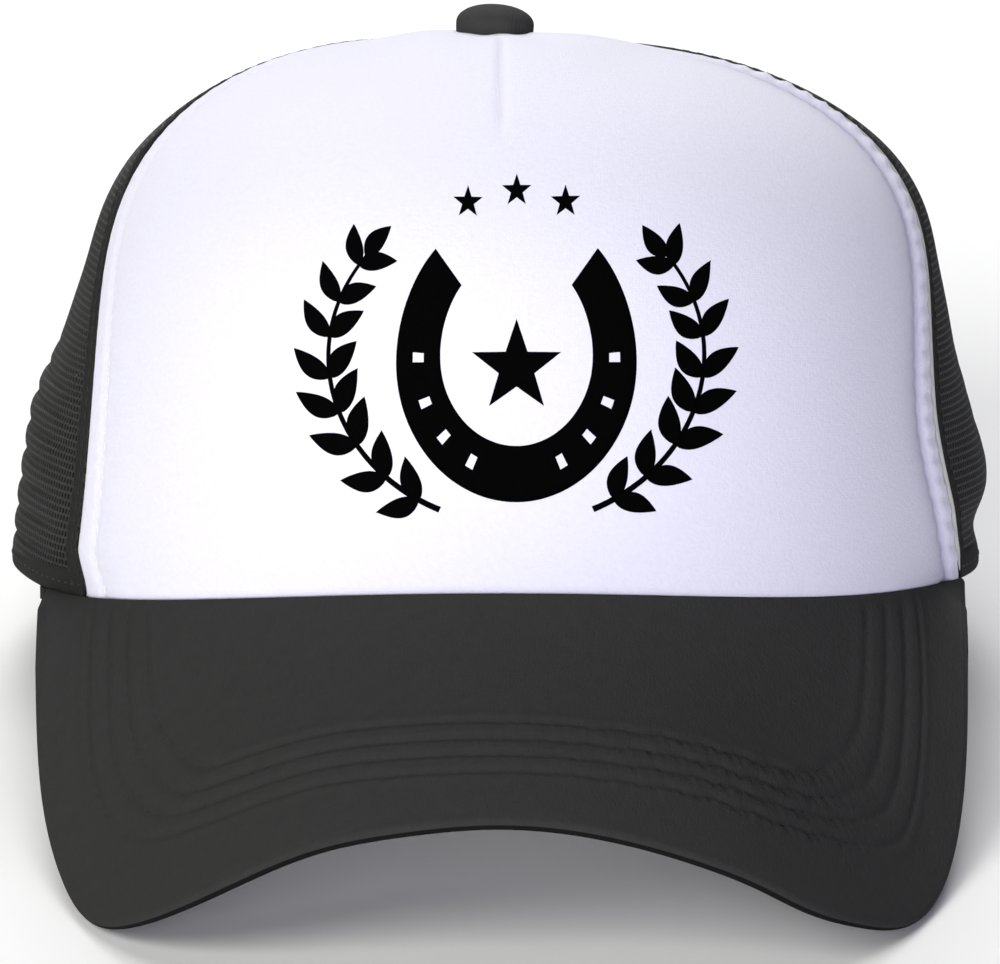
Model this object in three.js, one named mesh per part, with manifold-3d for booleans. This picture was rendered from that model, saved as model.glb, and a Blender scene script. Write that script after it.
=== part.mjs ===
// Trucker hat: a tall foam front panel, four net panels, a curved peak, a covered button,
// a sweatband, and a bound rear opening closed by a snap strap.
// Millimetres, +Z up. The hat faces -Y. It rests on the peak's two corners
// and on the two ends of the tape that binds the rear opening.
// Each piece is modelled as worn, with the rim level, and the whole hat is then tilted back to rest.
// Azimuth runs from the front (0) towards +X, and climb from the rim (0) to the top (90), in degrees.
import * as THREE from "three";
import { mergeVertices } from "three/addons/utils/BufferGeometryUtils.js";
import Module from "manifold-3d";

const { abs, cos, exp, max, min, sign, sin, sqrt, tan } = Math;
const rad = THREE.MathUtils.degToRad;
const { clamp, lerp, smoothstep } = THREE.MathUtils;

// Driving dimensions
const crown = {
  halfWidth: 87.4,
  frontReach: 93,
  backReach: 96,
  height: 97.2,
  topBack: 4,
  topRight: 2.3,
  apexLeft: 4.1,
  waist: 0.05,
  lean: 0.022,
  frontRise: 8.3,
  levelAzimuth: 80,
  rightLift: 2.33,
  liftAzimuth: 73,
  liftSpread: 29,
};
const squareness = { front: 2.68, side: 2.81, back: 2.3 };
const shoulders = { left: 1.75, right: 3.8, height: 72, spread: 23 };
const netBulge = {
  azimuth: 103,
  spread: 23,
  left: { out: 5.5, height: 25.6, rise: 16.6, fall: 39.6 },
  right: { out: 4.1, height: 16.6, rise: 21.7, fall: 5.5 },
};
const frontSeams = {
  left: { atRim: 62.6, atTop: 104.3, bend: 1.23, flare: -2.3, flareClimb: 5 },
  right: { atRim: 66.5, atTop: 99.4, bend: 1.22, flare: 4.6, flareClimb: 22.4 },
};
const sideSeam = { atRim: 120, atTop: 141, bend: 1.2 };
const topHole = 87.5; // climb where the panels stop under the button
const seamGap = 0.3;
const panelRows = 16; // the same on every panel, so that the facets meet along the seams

const peak = {
  length: 65.5,
  halfWidth: 83.3,
  widestForward: 49.9,
  squareness: 2.84,
  slope: 27.3,
  innerRise: 7,
  archRadius: 122.7,
  archCone: 0.726,
  coneFrom: 60,
  endAzimuth: 72,
  endWidth: 0.8,
  thickness: 2.5,
  tab: 2.8,
  tabDrop: 0.35,
};

const depths = { foam: [0, 3], net: [0.4, 1.4], binding: [-0.1, 1.5], strap: [1.9, 3.1], sweatband: [3.5, 4.7] };
const opening = { edgeAzimuth: 25, edgeClimb: 27, netAzimuth: 31, netClimb: 32, ease: 0.25 };
const sweatband = { low: 0.6, high: 19.5, endAzimuth: 152 };
const strap = { low: 3.2, high: 22.7, endAzimuth: 35, lapOut: 1, lapInset: 1.5, lapFrom: -14, lapTo: 21 };
const pegs = { count: 7, spare: 2, pitch: 9, radius: 1.9, stand: 0.84, root: 0.5, height: 12 };
const button = { radius: 6.9, height: 5.9, foot: 0.97, side: 0.42, bend: 0.8, x: -1.5, tilt: 2 };
const dart = { middle: 0.487, from: 58, length: 12, halfWidth: 0.01, depth: 0.7 };
// How many steps each piece is cut into, across and up
const facets = {
  panelLeft: 14,
  panelRight: 15,
  sideNet: 10,
  backNet: 15,
  binding: [18, 2],
  sweatband: [60, 3],
  peakHalf: 18,
  edge: 80,
  strap: 28,
  lap: 14,
  peg: 12,
  button: 24,
};

// How the hat rests: tilted back about X, then raised and moved so that the origin is under its box's middle
const rest = { tilt: 13.29, lift: 19.16, back: 27.85, right: 0.96 };

const colours = { white: 0xf4f4fb, charcoal: 0x2b2b2c, black: 0x1b1b1c, plastic: 0x161617 };

// The oval of the rim seen from above
function rimPlan(azimuth) {
  const a = rad(azimuth);
  const reach = cos(a) > 0 ? crown.frontReach : crown.backReach;
  return [crown.halfWidth * sin(a), -reach * cos(a)];
}

// How far the bent peak drops at a sideways distance: an arc that tightens towards the outer edge
function archDrop(x, forward) {
  const k = (1 + (peak.archCone * (forward - peak.coneFrom)) / 100) / peak.archRadius;
  return (1 - sqrt(1 - (k * x) ** 2)) / k;
}

// The peak slopes down and bends in its arch
function peakHeight(x, forward) {
  return peak.innerRise - (forward - crown.frontReach) * tan(rad(peak.slope)) - archDrop(x, forward);
}

// The rim rises over the peak as a squared cosine, runs level behind it, and lifts a little on the right
function rimHeight(azimuth) {
  const turn = min(abs(azimuth) / crown.levelAzimuth, 1) * 90;
  const lift = crown.rightLift * bell(azimuth, crown.liftAzimuth, crown.liftSpread);
  return crown.frontRise * cos(rad(turn)) ** 2 + lift;
}

const bell = (x, middle, spread) => exp(-(((x - middle) / spread) ** 2));

// A point on the crown's outer face: the rim's oval, drawn in and raised along a superellipse,
// with fuller shoulders above and the nets' slump below
function crownPoint(azimuth, climb) {
  const a = rad(azimuth);
  const g = rad(climb);
  const front = max(cos(a), 0) ** 2;
  const back = max(-cos(a), 0) ** 2;
  const n =
    squareness.side + (squareness.front - squareness.side) * front + (squareness.back - squareness.side) * back;
  const reach = (abs(cos(g)) ** n + abs(sin(g)) ** n) ** (-1 / n);
  const inward = reach * cos(g);
  const upward = reach * sin(g);
  const [x0, y0] = rimPlan(azimuth);
  const low = rimHeight(azimuth);
  const tilted = crown.height - crown.lean * x0 * inward;
  const z = low + (tilted - low) * upward;
  const waist = 1 - crown.waist * sin(Math.PI * upward);
  const { out, height, rise, fall } = azimuth > 0 ? netBulge.right : netBulge.left;
  const along = bell(abs(azimuth), netBulge.azimuth, netBulge.spread);
  const slump = out * along * bell(z, height, z > height ? rise : fall);
  const fullness = azimuth > 0 ? shoulders.right : shoulders.left;
  const shoulder = fullness * sin(a) ** 2 * bell(z, shoulders.height, shoulders.spread);
  const shift = crown.topRight * upward - crown.apexLeft * (1 - inward) ** 3;
  return new THREE.Vector3(
    x0 * inward * waist + shift + sign(azimuth) * (slump + shoulder),
    y0 * inward + crown.topBack * (1 - inward),
    z,
  );
}

// The same point carried inwards along the face's normal
function crownInside(azimuth, climb, depth) {
  const step = 0.25;
  const around = crownPoint(azimuth + step, climb).sub(crownPoint(azimuth - step, climb));
  const up = crownPoint(azimuth, climb + step).sub(crownPoint(azimuth, climb - step));
  const outward = around.cross(up).normalize();
  return crownPoint(azimuth, climb).addScaledVector(outward, -depth);
}

// Half of a seam's gap as an angle, which widens as the panels narrow towards the top
function gapAngle(climb) {
  const p = crownPoint(90, climb);
  return THREE.MathUtils.radToDeg(seamGap / 2 / max(p.x - crown.topRight, 2));
}

// A front seam's azimuth at each climb: the panel's lower corner is cut on the left and flared on the right
function frontSeamAt(side, climb) {
  const seam = side < 0 ? frontSeams.left : frontSeams.right;
  const along = smoothstep(climb, 0, 90) ** seam.bend;
  const flare = seam.flare * (1 - smoothstep(climb, 0, seam.flareClimb));
  return side * (lerp(seam.atRim, seam.atTop, along) + flare);
}

function sideSeamAt(climb) {
  return lerp(sideSeam.atRim, sideSeam.atTop, (max(climb, 0) / 90) ** sideSeam.bend);
}

// A closed wall between two grids of points. Its first face looks along (columns) x (rows).
function wallGeometry(columns, rows, facePoint, backPoint) {
  const points = [];
  for (const place of [facePoint, backPoint]) {
    for (const v of rows) {
      for (const u of columns) points.push(...place(u, v).toArray());
    }
  }
  const wide = columns.length;
  const half = wide * rows.length;
  const faces = [];
  const quad = (a, b, c, d) => faces.push(a, b, c, a, c, d);
  const at = (i, j, side = 0) => side * half + j * wide + i;
  for (let j = 0; j + 1 < rows.length; j++) {
    for (let i = 0; i + 1 < wide; i++) {
      quad(at(i, j), at(i + 1, j), at(i + 1, j + 1), at(i, j + 1));
      quad(at(i, j, 1), at(i, j + 1, 1), at(i + 1, j + 1, 1), at(i + 1, j, 1));
    }
  }
  const last = { i: wide - 1, j: rows.length - 1 };
  for (let i = 0; i < last.i; i++) {
    quad(at(i, 0), at(i, 0, 1), at(i + 1, 0, 1), at(i + 1, 0));
    quad(at(i, last.j), at(i + 1, last.j), at(i + 1, last.j, 1), at(i, last.j, 1));
  }
  for (let j = 0; j < last.j; j++) {
    quad(at(0, j), at(0, j + 1), at(0, j + 1, 1), at(0, j, 1));
    quad(at(last.i, j), at(last.i, j, 1), at(last.i, j + 1, 1), at(last.i, j + 1));
  }
  const geometry = new THREE.BufferGeometry();
  geometry.setAttribute("position", new THREE.Float32BufferAttribute(points, 3));
  geometry.setIndex(faces);
  return geometry;
}

const steps = (count, from = 0, to = 1) => Array.from({ length: count + 1 }, (_, i) => lerp(from, to, i / count));

// A wall on the crown: spot(u, v) gives its azimuth, climb and any extra depth
function crownWall(columns, rows, spot, [outer, inner]) {
  const place = (depth) => (u, v) => {
    const s = spot(u, v);
    return crownInside(s.azimuth, s.climb, depth + (s.dip ?? 0));
  };
  return wallGeometry(columns, rows, place(outer), place(inner));
}

function frontPanel() {
  // A short dart runs down from the button along the middle
  const { middle, halfWidth } = dart;
  const before = steps(facets.panelLeft, 0, middle - halfWidth);
  const columns = [...before, middle, ...steps(facets.panelRight, middle + halfWidth, 1)];
  const spot = (u, v) => {
    const climb = v * topHole;
    const gap = gapAngle(climb);
    const left = frontSeamAt(-1, climb) + gap;
    const right = frontSeamAt(1, climb) - gap;
    const dip = u === middle ? dart.depth * smoothstep(climb, dart.from, dart.from + dart.length) : 0;
    return { azimuth: lerp(left, right, u), climb, dip };
  };
  return crownWall(columns, steps(panelRows), spot, depths.foam);
}

function sideNet(side) {
  const spot = (u, v) => {
    const climb = v * topHole;
    const gap = gapAngle(climb);
    const ends = [side * frontSeamAt(side, climb) + gap, sideSeamAt(climb) - gap];
    const along = side > 0 ? u : 1 - u;
    return { azimuth: side * lerp(ends[0], ends[1], along), climb };
  };
  return crownWall(steps(facets.sideNet), steps(panelRows), spot, depths.net);
}

// A back panel's lower edge runs along the rim and then up round the rear opening
function backNet(side) {
  const rimShare = 0.4;
  const edge = (along) => {
    const start = sideSeam.atRim;
    if (along <= rimShare) return { azimuth: lerp(start, 180 - opening.netAzimuth, along / rimShare), climb: 0 };
    const turn = (90 * (along - rimShare)) / (1 - rimShare);
    return { azimuth: 180 - opening.netAzimuth * cos(rad(turn)), climb: opening.netClimb * sin(rad(turn)) };
  };
  const spot = (u, v) => {
    const along = side > 0 ? u : 1 - u;
    const low = edge(along);
    const ends = (climb) => [sideSeamAt(climb) + gapAngle(climb), 180 - gapAngle(climb)];
    const [from, to] = ends(low.climb);
    const share = clamp((low.azimuth - from) / (to - from), 0, 1);
    const climb = lerp(low.climb, topHole, v);
    return { azimuth: side * lerp(...ends(climb), share), climb };
  };
  return crownWall(steps(facets.backNet), steps(panelRows), spot, depths.net);
}

// The floor's height below a point of the tilted hat, along the hat's own upright
function floorHeight(point) {
  const tilt = rad(rest.tilt);
  return (point.y * sin(tilt) - rest.lift) / cos(tilt);
}

// The tape that binds the opening's edge, from one end of the arch over to the other.
// Its two ends carry the hat's back, so they are flattened where they meet the floor.
function openingBinding() {
  const spot = (u, v) => {
    const turn = rad(180 * u);
    const wide = lerp(opening.edgeAzimuth, opening.netAzimuth - opening.ease, v);
    const tall = lerp(opening.edgeClimb, opening.netClimb - opening.ease, v);
    return { azimuth: 180 - wide * cos(turn), climb: tall * sin(turn) };
  };
  const place = (depth) => (u, v) => {
    const s = spot(u, v);
    const p = crownInside(s.azimuth, s.climb, depth);
    p.z = max(p.z, floorHeight(p));
    return p;
  };
  const [outer, inner] = depths.binding;
  const [across, up] = facets.binding;
  return wallGeometry(steps(across), steps(up), place(outer), place(inner));
}

function sweatbandWall() {
  const spot = (u, v) => ({
    azimuth: lerp(-sweatband.endAzimuth, sweatband.endAzimuth, u),
    climb: lerp(sweatband.low, sweatband.high, v),
  });
  const [across, up] = facets.sweatband;
  return crownWall(steps(across), steps(up), spot, depths.sweatband);
}

// Half of the peak's outer edge in plan: part of a superellipse, then a short run back to the rim
function outerEdge(count, side) {
  const reach = crown.frontReach + peak.length * cos(rad(peak.slope)) - peak.widestForward;
  const line = steps(count).map((t) => {
    const a = rad(90 * t);
    const bend = 2 / peak.squareness;
    return new THREE.Vector2(peak.halfWidth * sin(a) ** bend, peak.widestForward + reach * max(cos(a), 0) ** bend);
  });
  const rim = crownPoint(side * peak.endAzimuth, 0);
  const end = new THREE.Vector2(side * rim.x + peak.endWidth, -rim.y);
  const corner = new THREE.Vector2(peak.halfWidth, lerp(peak.widestForward, end.y, 0.5));
  const back = new THREE.QuadraticBezierCurve(line.at(-1), corner, end);
  return [...line, ...back.getPoints(8).slice(1)];
}

// Points of the outer edge at even steps of its length, lifted to the peak's surface
function edgePoints(count, side) {
  const path = new THREE.CurvePath();
  const line = outerEdge(facets.edge, side);
  for (let i = 0; i + 1 < line.length; i++) path.add(new THREE.LineCurve(line[i], line[i + 1]));
  const endHeight = rimHeight(side * peak.endAzimuth) - seamGap;
  const endForward = line.at(-1).y;
  return path.getSpacedPoints(count).map((p) => {
    const back = clamp((peak.widestForward - p.y) / (peak.widestForward - endForward), 0, 1);
    const height = lerp(peakHeight(p.x, max(p.y, peak.widestForward)), endHeight, back);
    return new THREE.Vector3(side * p.x, -p.y, height);
  });
}

// The peak: a tab under the front panel, then straight lines from the rim out to the edge
function peakWall() {
  const half = facets.peakHalf;
  const reach = 0.1;
  const edges = { left: edgePoints(half, -1), right: edgePoints(half, 1) };
  const turn = [0, 0.02, 0.18, 0.36, 0.55, 0.75, 0.9, 1];
  const top = (u, v) => {
    const side = sign(u) || 1;
    const share = abs(u);
    const azimuth = side * share * peak.endAzimuth;
    const atRim = crownPoint(azimuth, 0);
    atRim.z = rimHeight(azimuth) - seamGap;
    if (v < turn[1]) {
      const inward = new THREE.Vector3(-atRim.x, -atRim.y, 0).normalize();
      atRim.z -= peak.tabDrop;
      return atRim.addScaledVector(inward, peak.tab);
    }
    const out = (side < 0 ? edges.left : edges.right)[Math.round(share * half)];
    return atRim.lerp(out, (v - turn[1]) / (1 - turn[1]));
  };
  const under = (u, v) => {
    const step = 1 / half;
    const across = top(min(u + step, 1), v).sub(top(max(u - step, -1), v));
    const later = max(v, turn[1]);
    const forward = top(u, min(later + reach, 1)).sub(top(u, max(min(later, 1 - reach), turn[1])));
    const down = v < turn[1] ? new THREE.Vector3(0, 0, -1) : across.cross(forward).normalize();
    return top(u, v).addScaledVector(down, peak.thickness);
  };
  return wallGeometry(steps(2 * half, -1, 1), turn, under, top);
}

function coveredButton() {
  // A flat foot, a short side and a domed cap, turned about Z
  const { radius, height, foot, side, bend } = button;
  const profile = [[0, 0], [radius * foot, 0], [radius, (height * side) / 2], [radius, height * side]];
  for (const turn of steps(5, 15, 80)) {
    const out = radius * cos(rad(turn)) ** bend;
    profile.push([out, height * (side + (1 - side) * sin(rad(turn)) ** bend)]);
  }
  profile.push([0, height]);
  const points = profile.map(([x, y]) => new THREE.Vector2(x, y));
  const geometry = new THREE.LatheGeometry(points, facets.button);
  return geometry.rotateX(Math.PI / 2);
}

// A point inside the back of the crown at a given height above the level rim
function strapPoint(azimuth, height, depth) {
  const p = crownInside(azimuth, THREE.MathUtils.radToDeg(Math.atan2(height, crown.height)), depth);
  p.z = height;
  return p;
}

function strapBand([outer, inner], fromAzimuth, toAzimuth, low, high, count) {
  const place = (depth) => (u, v) => strapPoint(lerp(fromAzimuth, toAzimuth, u), lerp(low, high, v), depth);
  return wallGeometry(steps(count), steps(2), place(outer), place(inner));
}

const wasm = await Module();
wasm.setup();

function solidOf(geometry) {
  const bare = geometry.clone();
  for (const name of ["normal", "uv"]) bare.deleteAttribute(name);
  const merged = mergeVertices(bare, 1e-4);
  return new wasm.Manifold(
    new wasm.Mesh({
      numProp: 3,
      vertProperties: merged.attributes.position.array,
      triVerts: new Uint32Array(merged.index.array),
    }),
  );
}

function geometryOf(solid) {
  const made = solid.getMesh();
  const geometry = new THREE.BufferGeometry();
  geometry.setAttribute("position", new THREE.BufferAttribute(new Float32Array(made.vertProperties), 3));
  geometry.setIndex(new THREE.BufferAttribute(new Uint32Array(made.triVerts), 1));
  return geometry;
}

// A peg or hole tool that points out of the strap at a sideways distance from the middle
function strapPeg(x, radius, from, to) {
  const azimuth = 180 - THREE.MathUtils.radToDeg(Math.asin(x / crown.halfWidth));
  const a = strapPoint(azimuth, pegs.height, from);
  const b = strapPoint(azimuth, pegs.height, to);
  const peg = new THREE.CylinderGeometry(radius, radius, a.distanceTo(b), facets.peg);
  const along = b.clone().sub(a).normalize();
  peg.applyQuaternion(new THREE.Quaternion().setFromUnitVectors(new THREE.Vector3(0, 1, 0), along));
  const middle = a.lerp(b, 0.5);
  return solidOf(peg.translate(middle.x, middle.y, middle.z));
}

// Two lapped ends of the strap in one piece: pegs stand through the lap, and its spare holes stay empty
function snapStrap() {
  const [outer, inner] = depths.strap;
  const { low, high, endAzimuth, lapOut, lapFrom, lapTo, lapInset } = strap;
  let solid = solidOf(strapBand(depths.strap, 180 - endAzimuth, 180 + endAzimuth, low, high, facets.strap));
  const lapDepths = [outer - lapOut, (outer + inner) / 2];
  const lap = strapBand(lapDepths, 180 + lapFrom, 180 + lapTo, low + lapInset, high - lapInset, facets.lap);
  solid = solid.add(solidOf(lap));
  const middle = (pegs.count - 1) / 2;
  for (let i = 0; i < pegs.count; i++) {
    const x = (i - middle) * pegs.pitch;
    const spare = i < pegs.spare;
    const inLap = -x > crown.halfWidth * sin(rad(lapFrom)) - pegs.radius;
    const face = outer - (inLap ? lapOut : 0);
    if (spare) solid = solid.subtract(strapPeg(x, pegs.radius, outer, face - 1));
    else solid = solid.add(strapPeg(x, pegs.radius, outer + pegs.root, face - pegs.stand));
  }
  return geometryOf(solid);
}

const finishes = {
  foam: new THREE.MeshStandardMaterial({ color: colours.white, roughness: 0.85, metalness: 0 }),
  net: new THREE.MeshStandardMaterial({ color: colours.charcoal, roughness: 0.8, metalness: 0 }),
  cloth: new THREE.MeshStandardMaterial({ color: colours.charcoal, roughness: 0.75, metalness: 0 }),
  band: new THREE.MeshStandardMaterial({ color: colours.black, roughness: 0.9, metalness: 0 }),
  plastic: new THREE.MeshStandardMaterial({ color: colours.plastic, roughness: 0.45, metalness: 0 }),
};

const hat = new THREE.Group();
function addPiece(name, geometry, finish) {
  const mesh = new THREE.Mesh(geometry, finishes[finish]);
  mesh.name = name;
  hat.add(mesh);
  return mesh;
}

addPiece("front_panel", frontPanel(), "foam");
addPiece("side_net_left", sideNet(-1), "net");
addPiece("side_net_right", sideNet(1), "net");
addPiece("back_net_left", backNet(-1), "net");
addPiece("back_net_right", backNet(1), "net");
addPiece("peak", peakWall(), "cloth");
addPiece("opening_binding", openingBinding(), "cloth");
addPiece("sweatband", sweatbandWall(), "band");
addPiece("snap_strap", snapStrap(), "plastic");
const cap = addPiece("top_button", coveredButton(), "cloth");
cap.position.set(button.x, crown.topBack, crown.height + seamGap);
cap.rotation.y = rad(button.tilt);

hat.rotation.x = -rad(rest.tilt);
hat.position.set(rest.right, rest.back, rest.lift);

export default hat;
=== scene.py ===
import bpy
import numpy as np
from mathutils import Matrix, Vector


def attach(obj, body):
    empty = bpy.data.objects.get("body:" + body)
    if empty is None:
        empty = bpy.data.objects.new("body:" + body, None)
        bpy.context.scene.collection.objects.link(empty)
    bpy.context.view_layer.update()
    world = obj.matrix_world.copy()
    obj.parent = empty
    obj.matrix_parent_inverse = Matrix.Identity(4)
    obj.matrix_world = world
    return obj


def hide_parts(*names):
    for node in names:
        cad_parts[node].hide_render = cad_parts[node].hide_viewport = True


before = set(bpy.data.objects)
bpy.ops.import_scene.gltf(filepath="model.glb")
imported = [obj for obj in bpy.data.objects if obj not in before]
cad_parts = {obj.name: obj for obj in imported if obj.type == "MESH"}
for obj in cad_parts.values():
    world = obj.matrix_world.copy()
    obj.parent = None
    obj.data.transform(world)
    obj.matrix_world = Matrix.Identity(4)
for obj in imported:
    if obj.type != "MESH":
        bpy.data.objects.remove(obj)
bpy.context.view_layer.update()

# The hat's own shape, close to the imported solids. Azimuth runs round the hat from the middle of its front,
# climb from 0 at the rim to 90 at the top, both in degrees
crown = {
    "halfWidth": 87.4, "frontReach": 93, "backReach": 96, "height": 97.2, "topBack": 4, "topRight": 2.3,
    "apexLeft": 4.1, "waist": 0.05, "lean": 0.022, "frontRise": 8.3, "levelAzimuth": 80,
    "topHole": 87.5, "seamGap": 0.3,
    # The rim's lift on either side: how high, at which azimuth and how wide
    "lifts": ((2.33, 73, 29), (1.2, -84, 17)),
}
squareness = {"front": 2.68, "side": 2.81, "back": 2.3}
shoulders = {"left": 1.75, "right": 3.8, "height": 72, "spread": 23}
# Each net's slump: how far out, the height of its fullest level, how slowly it fades above and below
netBulge = {
    "azimuth": 103, "spread": 23, "left": (5.5, 25.6, 16.6, 39.6), "right": (4.1, 16.6, 21.7, 5.5),
}
frontSeams = {
    "left": {"atRim": 62.6, "atTop": 104.3, "bend": 1.23, "flare": -3.5, "flareClimb": 5},
    "right": {"atRim": 66.5, "atTop": 99.4, "bend": 1.22, "flare": 5.4, "flareClimb": 20},
}
sideSeam = {"atRim": 120, "atTop": 141, "bend": 1.2}
opening = {"edgeAzimuth": 25, "edgeClimb": 27, "netAzimuth": 31, "netClimb": 32}
rest = {"tilt": 13.29, "lift": 19.16, "back": 27.85, "right": 0.96}


def ease(x, low, high):
    # Rises from 0 to 1 between low and high, level at both ends
    t = np.clip((x - low) / (high - low), 0, 1)
    return t * t * (3 - 2 * t)


def bell(x, middle, width):
    # 1 at the middle, falling off as a bell of that width
    return np.exp(-(((x - middle) / width) ** 2))


def plateau(x, rises, falls):
    # Rises from 0 to 1 over the first pair, and falls back to 0 over the second
    return ease(x, *rises) * (1 - ease(x, *falls))


def unit(v):
    return v / np.maximum(np.linalg.norm(v, axis=-1, keepdims=True), 1e-12)


def fullTurn(count):
    return np.linspace(0, 2 * np.pi, count, endpoint=False)


def runLength(points, axis=0):
    # Distance along a line of points, from 0
    step = np.linalg.norm(np.diff(points, axis=axis), axis=-1)
    pad = [(0, 0)] * step.ndim
    pad[axis] = (1, 0)
    return np.pad(np.cumsum(step, axis=axis), pad)


def rolled(distance, radius):
    # How far a face has rolled in at a distance from its edge: a quarter round
    left = radius - np.clip(distance, 0, radius)
    return radius - np.sqrt(np.maximum(radius**2 - left**2, 0))


def waviness(x, y, pitch, phase=0.0):
    # Slow unevenness: three sine sheets that cross at odd angles
    k = 2 * np.pi / pitch
    one = np.sin(k * (0.94 * x + 0.33 * y) + phase)
    two = np.sin(k * (0.71 * y - 0.52 * x) * 1.27 + 1.9 * phase + 1)
    three = np.sin(k * (0.38 * x + 0.81 * y) * 0.61 + 2.3 * phase + 4)
    return (one + two + three) / 3


def toRow(p):
    # Tips the level hat back by the rest tilt, then lifts it onto the floor: millimetres to metres
    t = np.radians(rest["tilt"])
    x, y, z = p[..., 0], p[..., 1], p[..., 2]
    across = x + rest["right"]
    along = y * np.cos(t) + z * np.sin(t) + rest["back"]
    above = z * np.cos(t) - y * np.sin(t) + rest["lift"]
    return np.stack([across, along, above], -1) / 1000


def rimHeight(azimuth):
    # A squared cosine over the peak, level behind it, with a small lift on either side
    turn = np.minimum(np.abs(azimuth) / crown["levelAzimuth"], 1) * 90
    lift = sum(high * bell(azimuth, middle, spread) for high, middle, spread in crown["lifts"])
    return crown["frontRise"] * np.cos(np.radians(turn)) ** 2 + lift


def crownPoint(azimuth, climb):
    # The rim's oval drawn in and raised along a superellipse that is squarer at the sides,
    # with fuller shoulders above and the nets' slump below
    azimuth, climb = np.broadcast_arrays(np.asarray(azimuth, float), np.asarray(climb, float))
    a, g = np.radians(azimuth), np.radians(climb)
    front, back = np.maximum(np.cos(a), 0) ** 2, np.maximum(-np.cos(a), 0) ** 2
    n = squareness["side"] + (squareness["front"] - squareness["side"]) * front
    n = n + (squareness["back"] - squareness["side"]) * back
    reach = (np.abs(np.cos(g)) ** n + np.abs(np.sin(g)) ** n) ** (-1 / n)
    inward, upward = reach * np.cos(g), reach * np.sin(g)
    x0 = crown["halfWidth"] * np.sin(a)
    y0 = -np.where(np.cos(a) > 0, crown["frontReach"], crown["backReach"]) * np.cos(a)
    low = rimHeight(azimuth)
    z = low + (crown["height"] - crown["lean"] * x0 * inward - low) * upward
    toRight = azimuth > 0
    out, level, rise, fall = (np.where(toRight, r, l) for r, l in zip(netBulge["right"], netBulge["left"]))
    slump = out * bell(np.abs(azimuth), netBulge["azimuth"], netBulge["spread"])
    slump = slump * bell(z, level, np.where(z > level, rise, fall))
    fullness = np.where(toRight, shoulders["right"], shoulders["left"])
    shoulder = fullness * np.sin(a) ** 2 * bell(z, shoulders["height"], shoulders["spread"])
    x = x0 * inward * (1 - crown["waist"] * np.sin(np.pi * upward)) + crown["topRight"] * upward
    x = x - crown["apexLeft"] * (1 - inward) ** 3 + np.sign(azimuth) * (slump + shoulder)
    return np.stack([x, y0 * inward + crown["topBack"] * (1 - inward), z], -1)


def crownOut(azimuth, climb):
    # Outward normal: the step round the crown crossed with the step up it
    step = 0.25
    around = crownPoint(azimuth + step, climb) - crownPoint(azimuth - step, climb)
    up = crownPoint(azimuth, climb + step) - crownPoint(azimuth, climb - step)
    return unit(np.cross(around, up))


def crownAt(azimuth, climb, depth=0.0):
    # A point that far inside the crown's surface
    azimuth, climb, depth = np.broadcast_arrays(azimuth, climb, depth)
    return crownPoint(azimuth, climb) - crownOut(azimuth, climb) * depth[..., None]


def gapAngle(climb):
    # Half the gap along a seam, as an angle round the crown at that climb
    wide = crownPoint(90, climb)[..., 0] - crown["topRight"]
    return np.degrees(crown["seamGap"] / 2 / np.maximum(wide, 2))


def frontSeamAt(side, climb):
    # Azimuth of the seam between the front panel and a net, with the cut or flare of its lower corner
    seam = frontSeams["left" if side < 0 else "right"]
    along = ease(climb, 0, 90) ** seam["bend"]
    corner = seam["flare"] * (1 - ease(climb, 0, seam["flareClimb"]))
    return side * (seam["atRim"] + (seam["atTop"] - seam["atRim"]) * along + corner)


def sideSeamAt(climb):
    share = (np.maximum(climb, 0) / 90) ** sideSeam["bend"]
    return sideSeam["atRim"] + (sideSeam["atTop"] - sideSeam["atRim"]) * share


def atHeight(p, z):
    return np.concatenate([p[..., :2], np.broadcast_to(z, p.shape[:-1])[..., None]], -1)


def floorClamp(p):
    # Cloth that would dip below the floor is flattened on it
    t = np.radians(rest["tilt"])
    lowest = (p[..., 1] * np.sin(t) - rest["lift"]) / np.cos(t)
    return atHeight(p, np.maximum(p[..., 2], lowest))


# Mesh building

def quadsOf(a, b, c, d):
    # A quad for each place in four grids of point numbers
    return np.stack([corner.ravel() for corner in (a, b, c, d)], 1)


def ringQuads(ids):
    # Quads between neighbouring rings of point numbers, each ring closed
    turned = np.roll(ids, -1, axis=-1)
    return quadsOf(ids[..., :-1, :], turned[..., :-1, :], turned[..., 1:, :], ids[..., 1:, :])


def fanOf(ring, tip):
    # Triangles from a closed ring to one point
    return np.stack([ring, np.roll(ring, -1), np.full(len(ring), tip)], 1)


def joinFaces(*sets):
    # One array for each count of corners
    counts = sorted({s.shape[1] for s in sets})
    return [np.concatenate([s for s in sets if s.shape[1] == n]) for n in counts]


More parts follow.
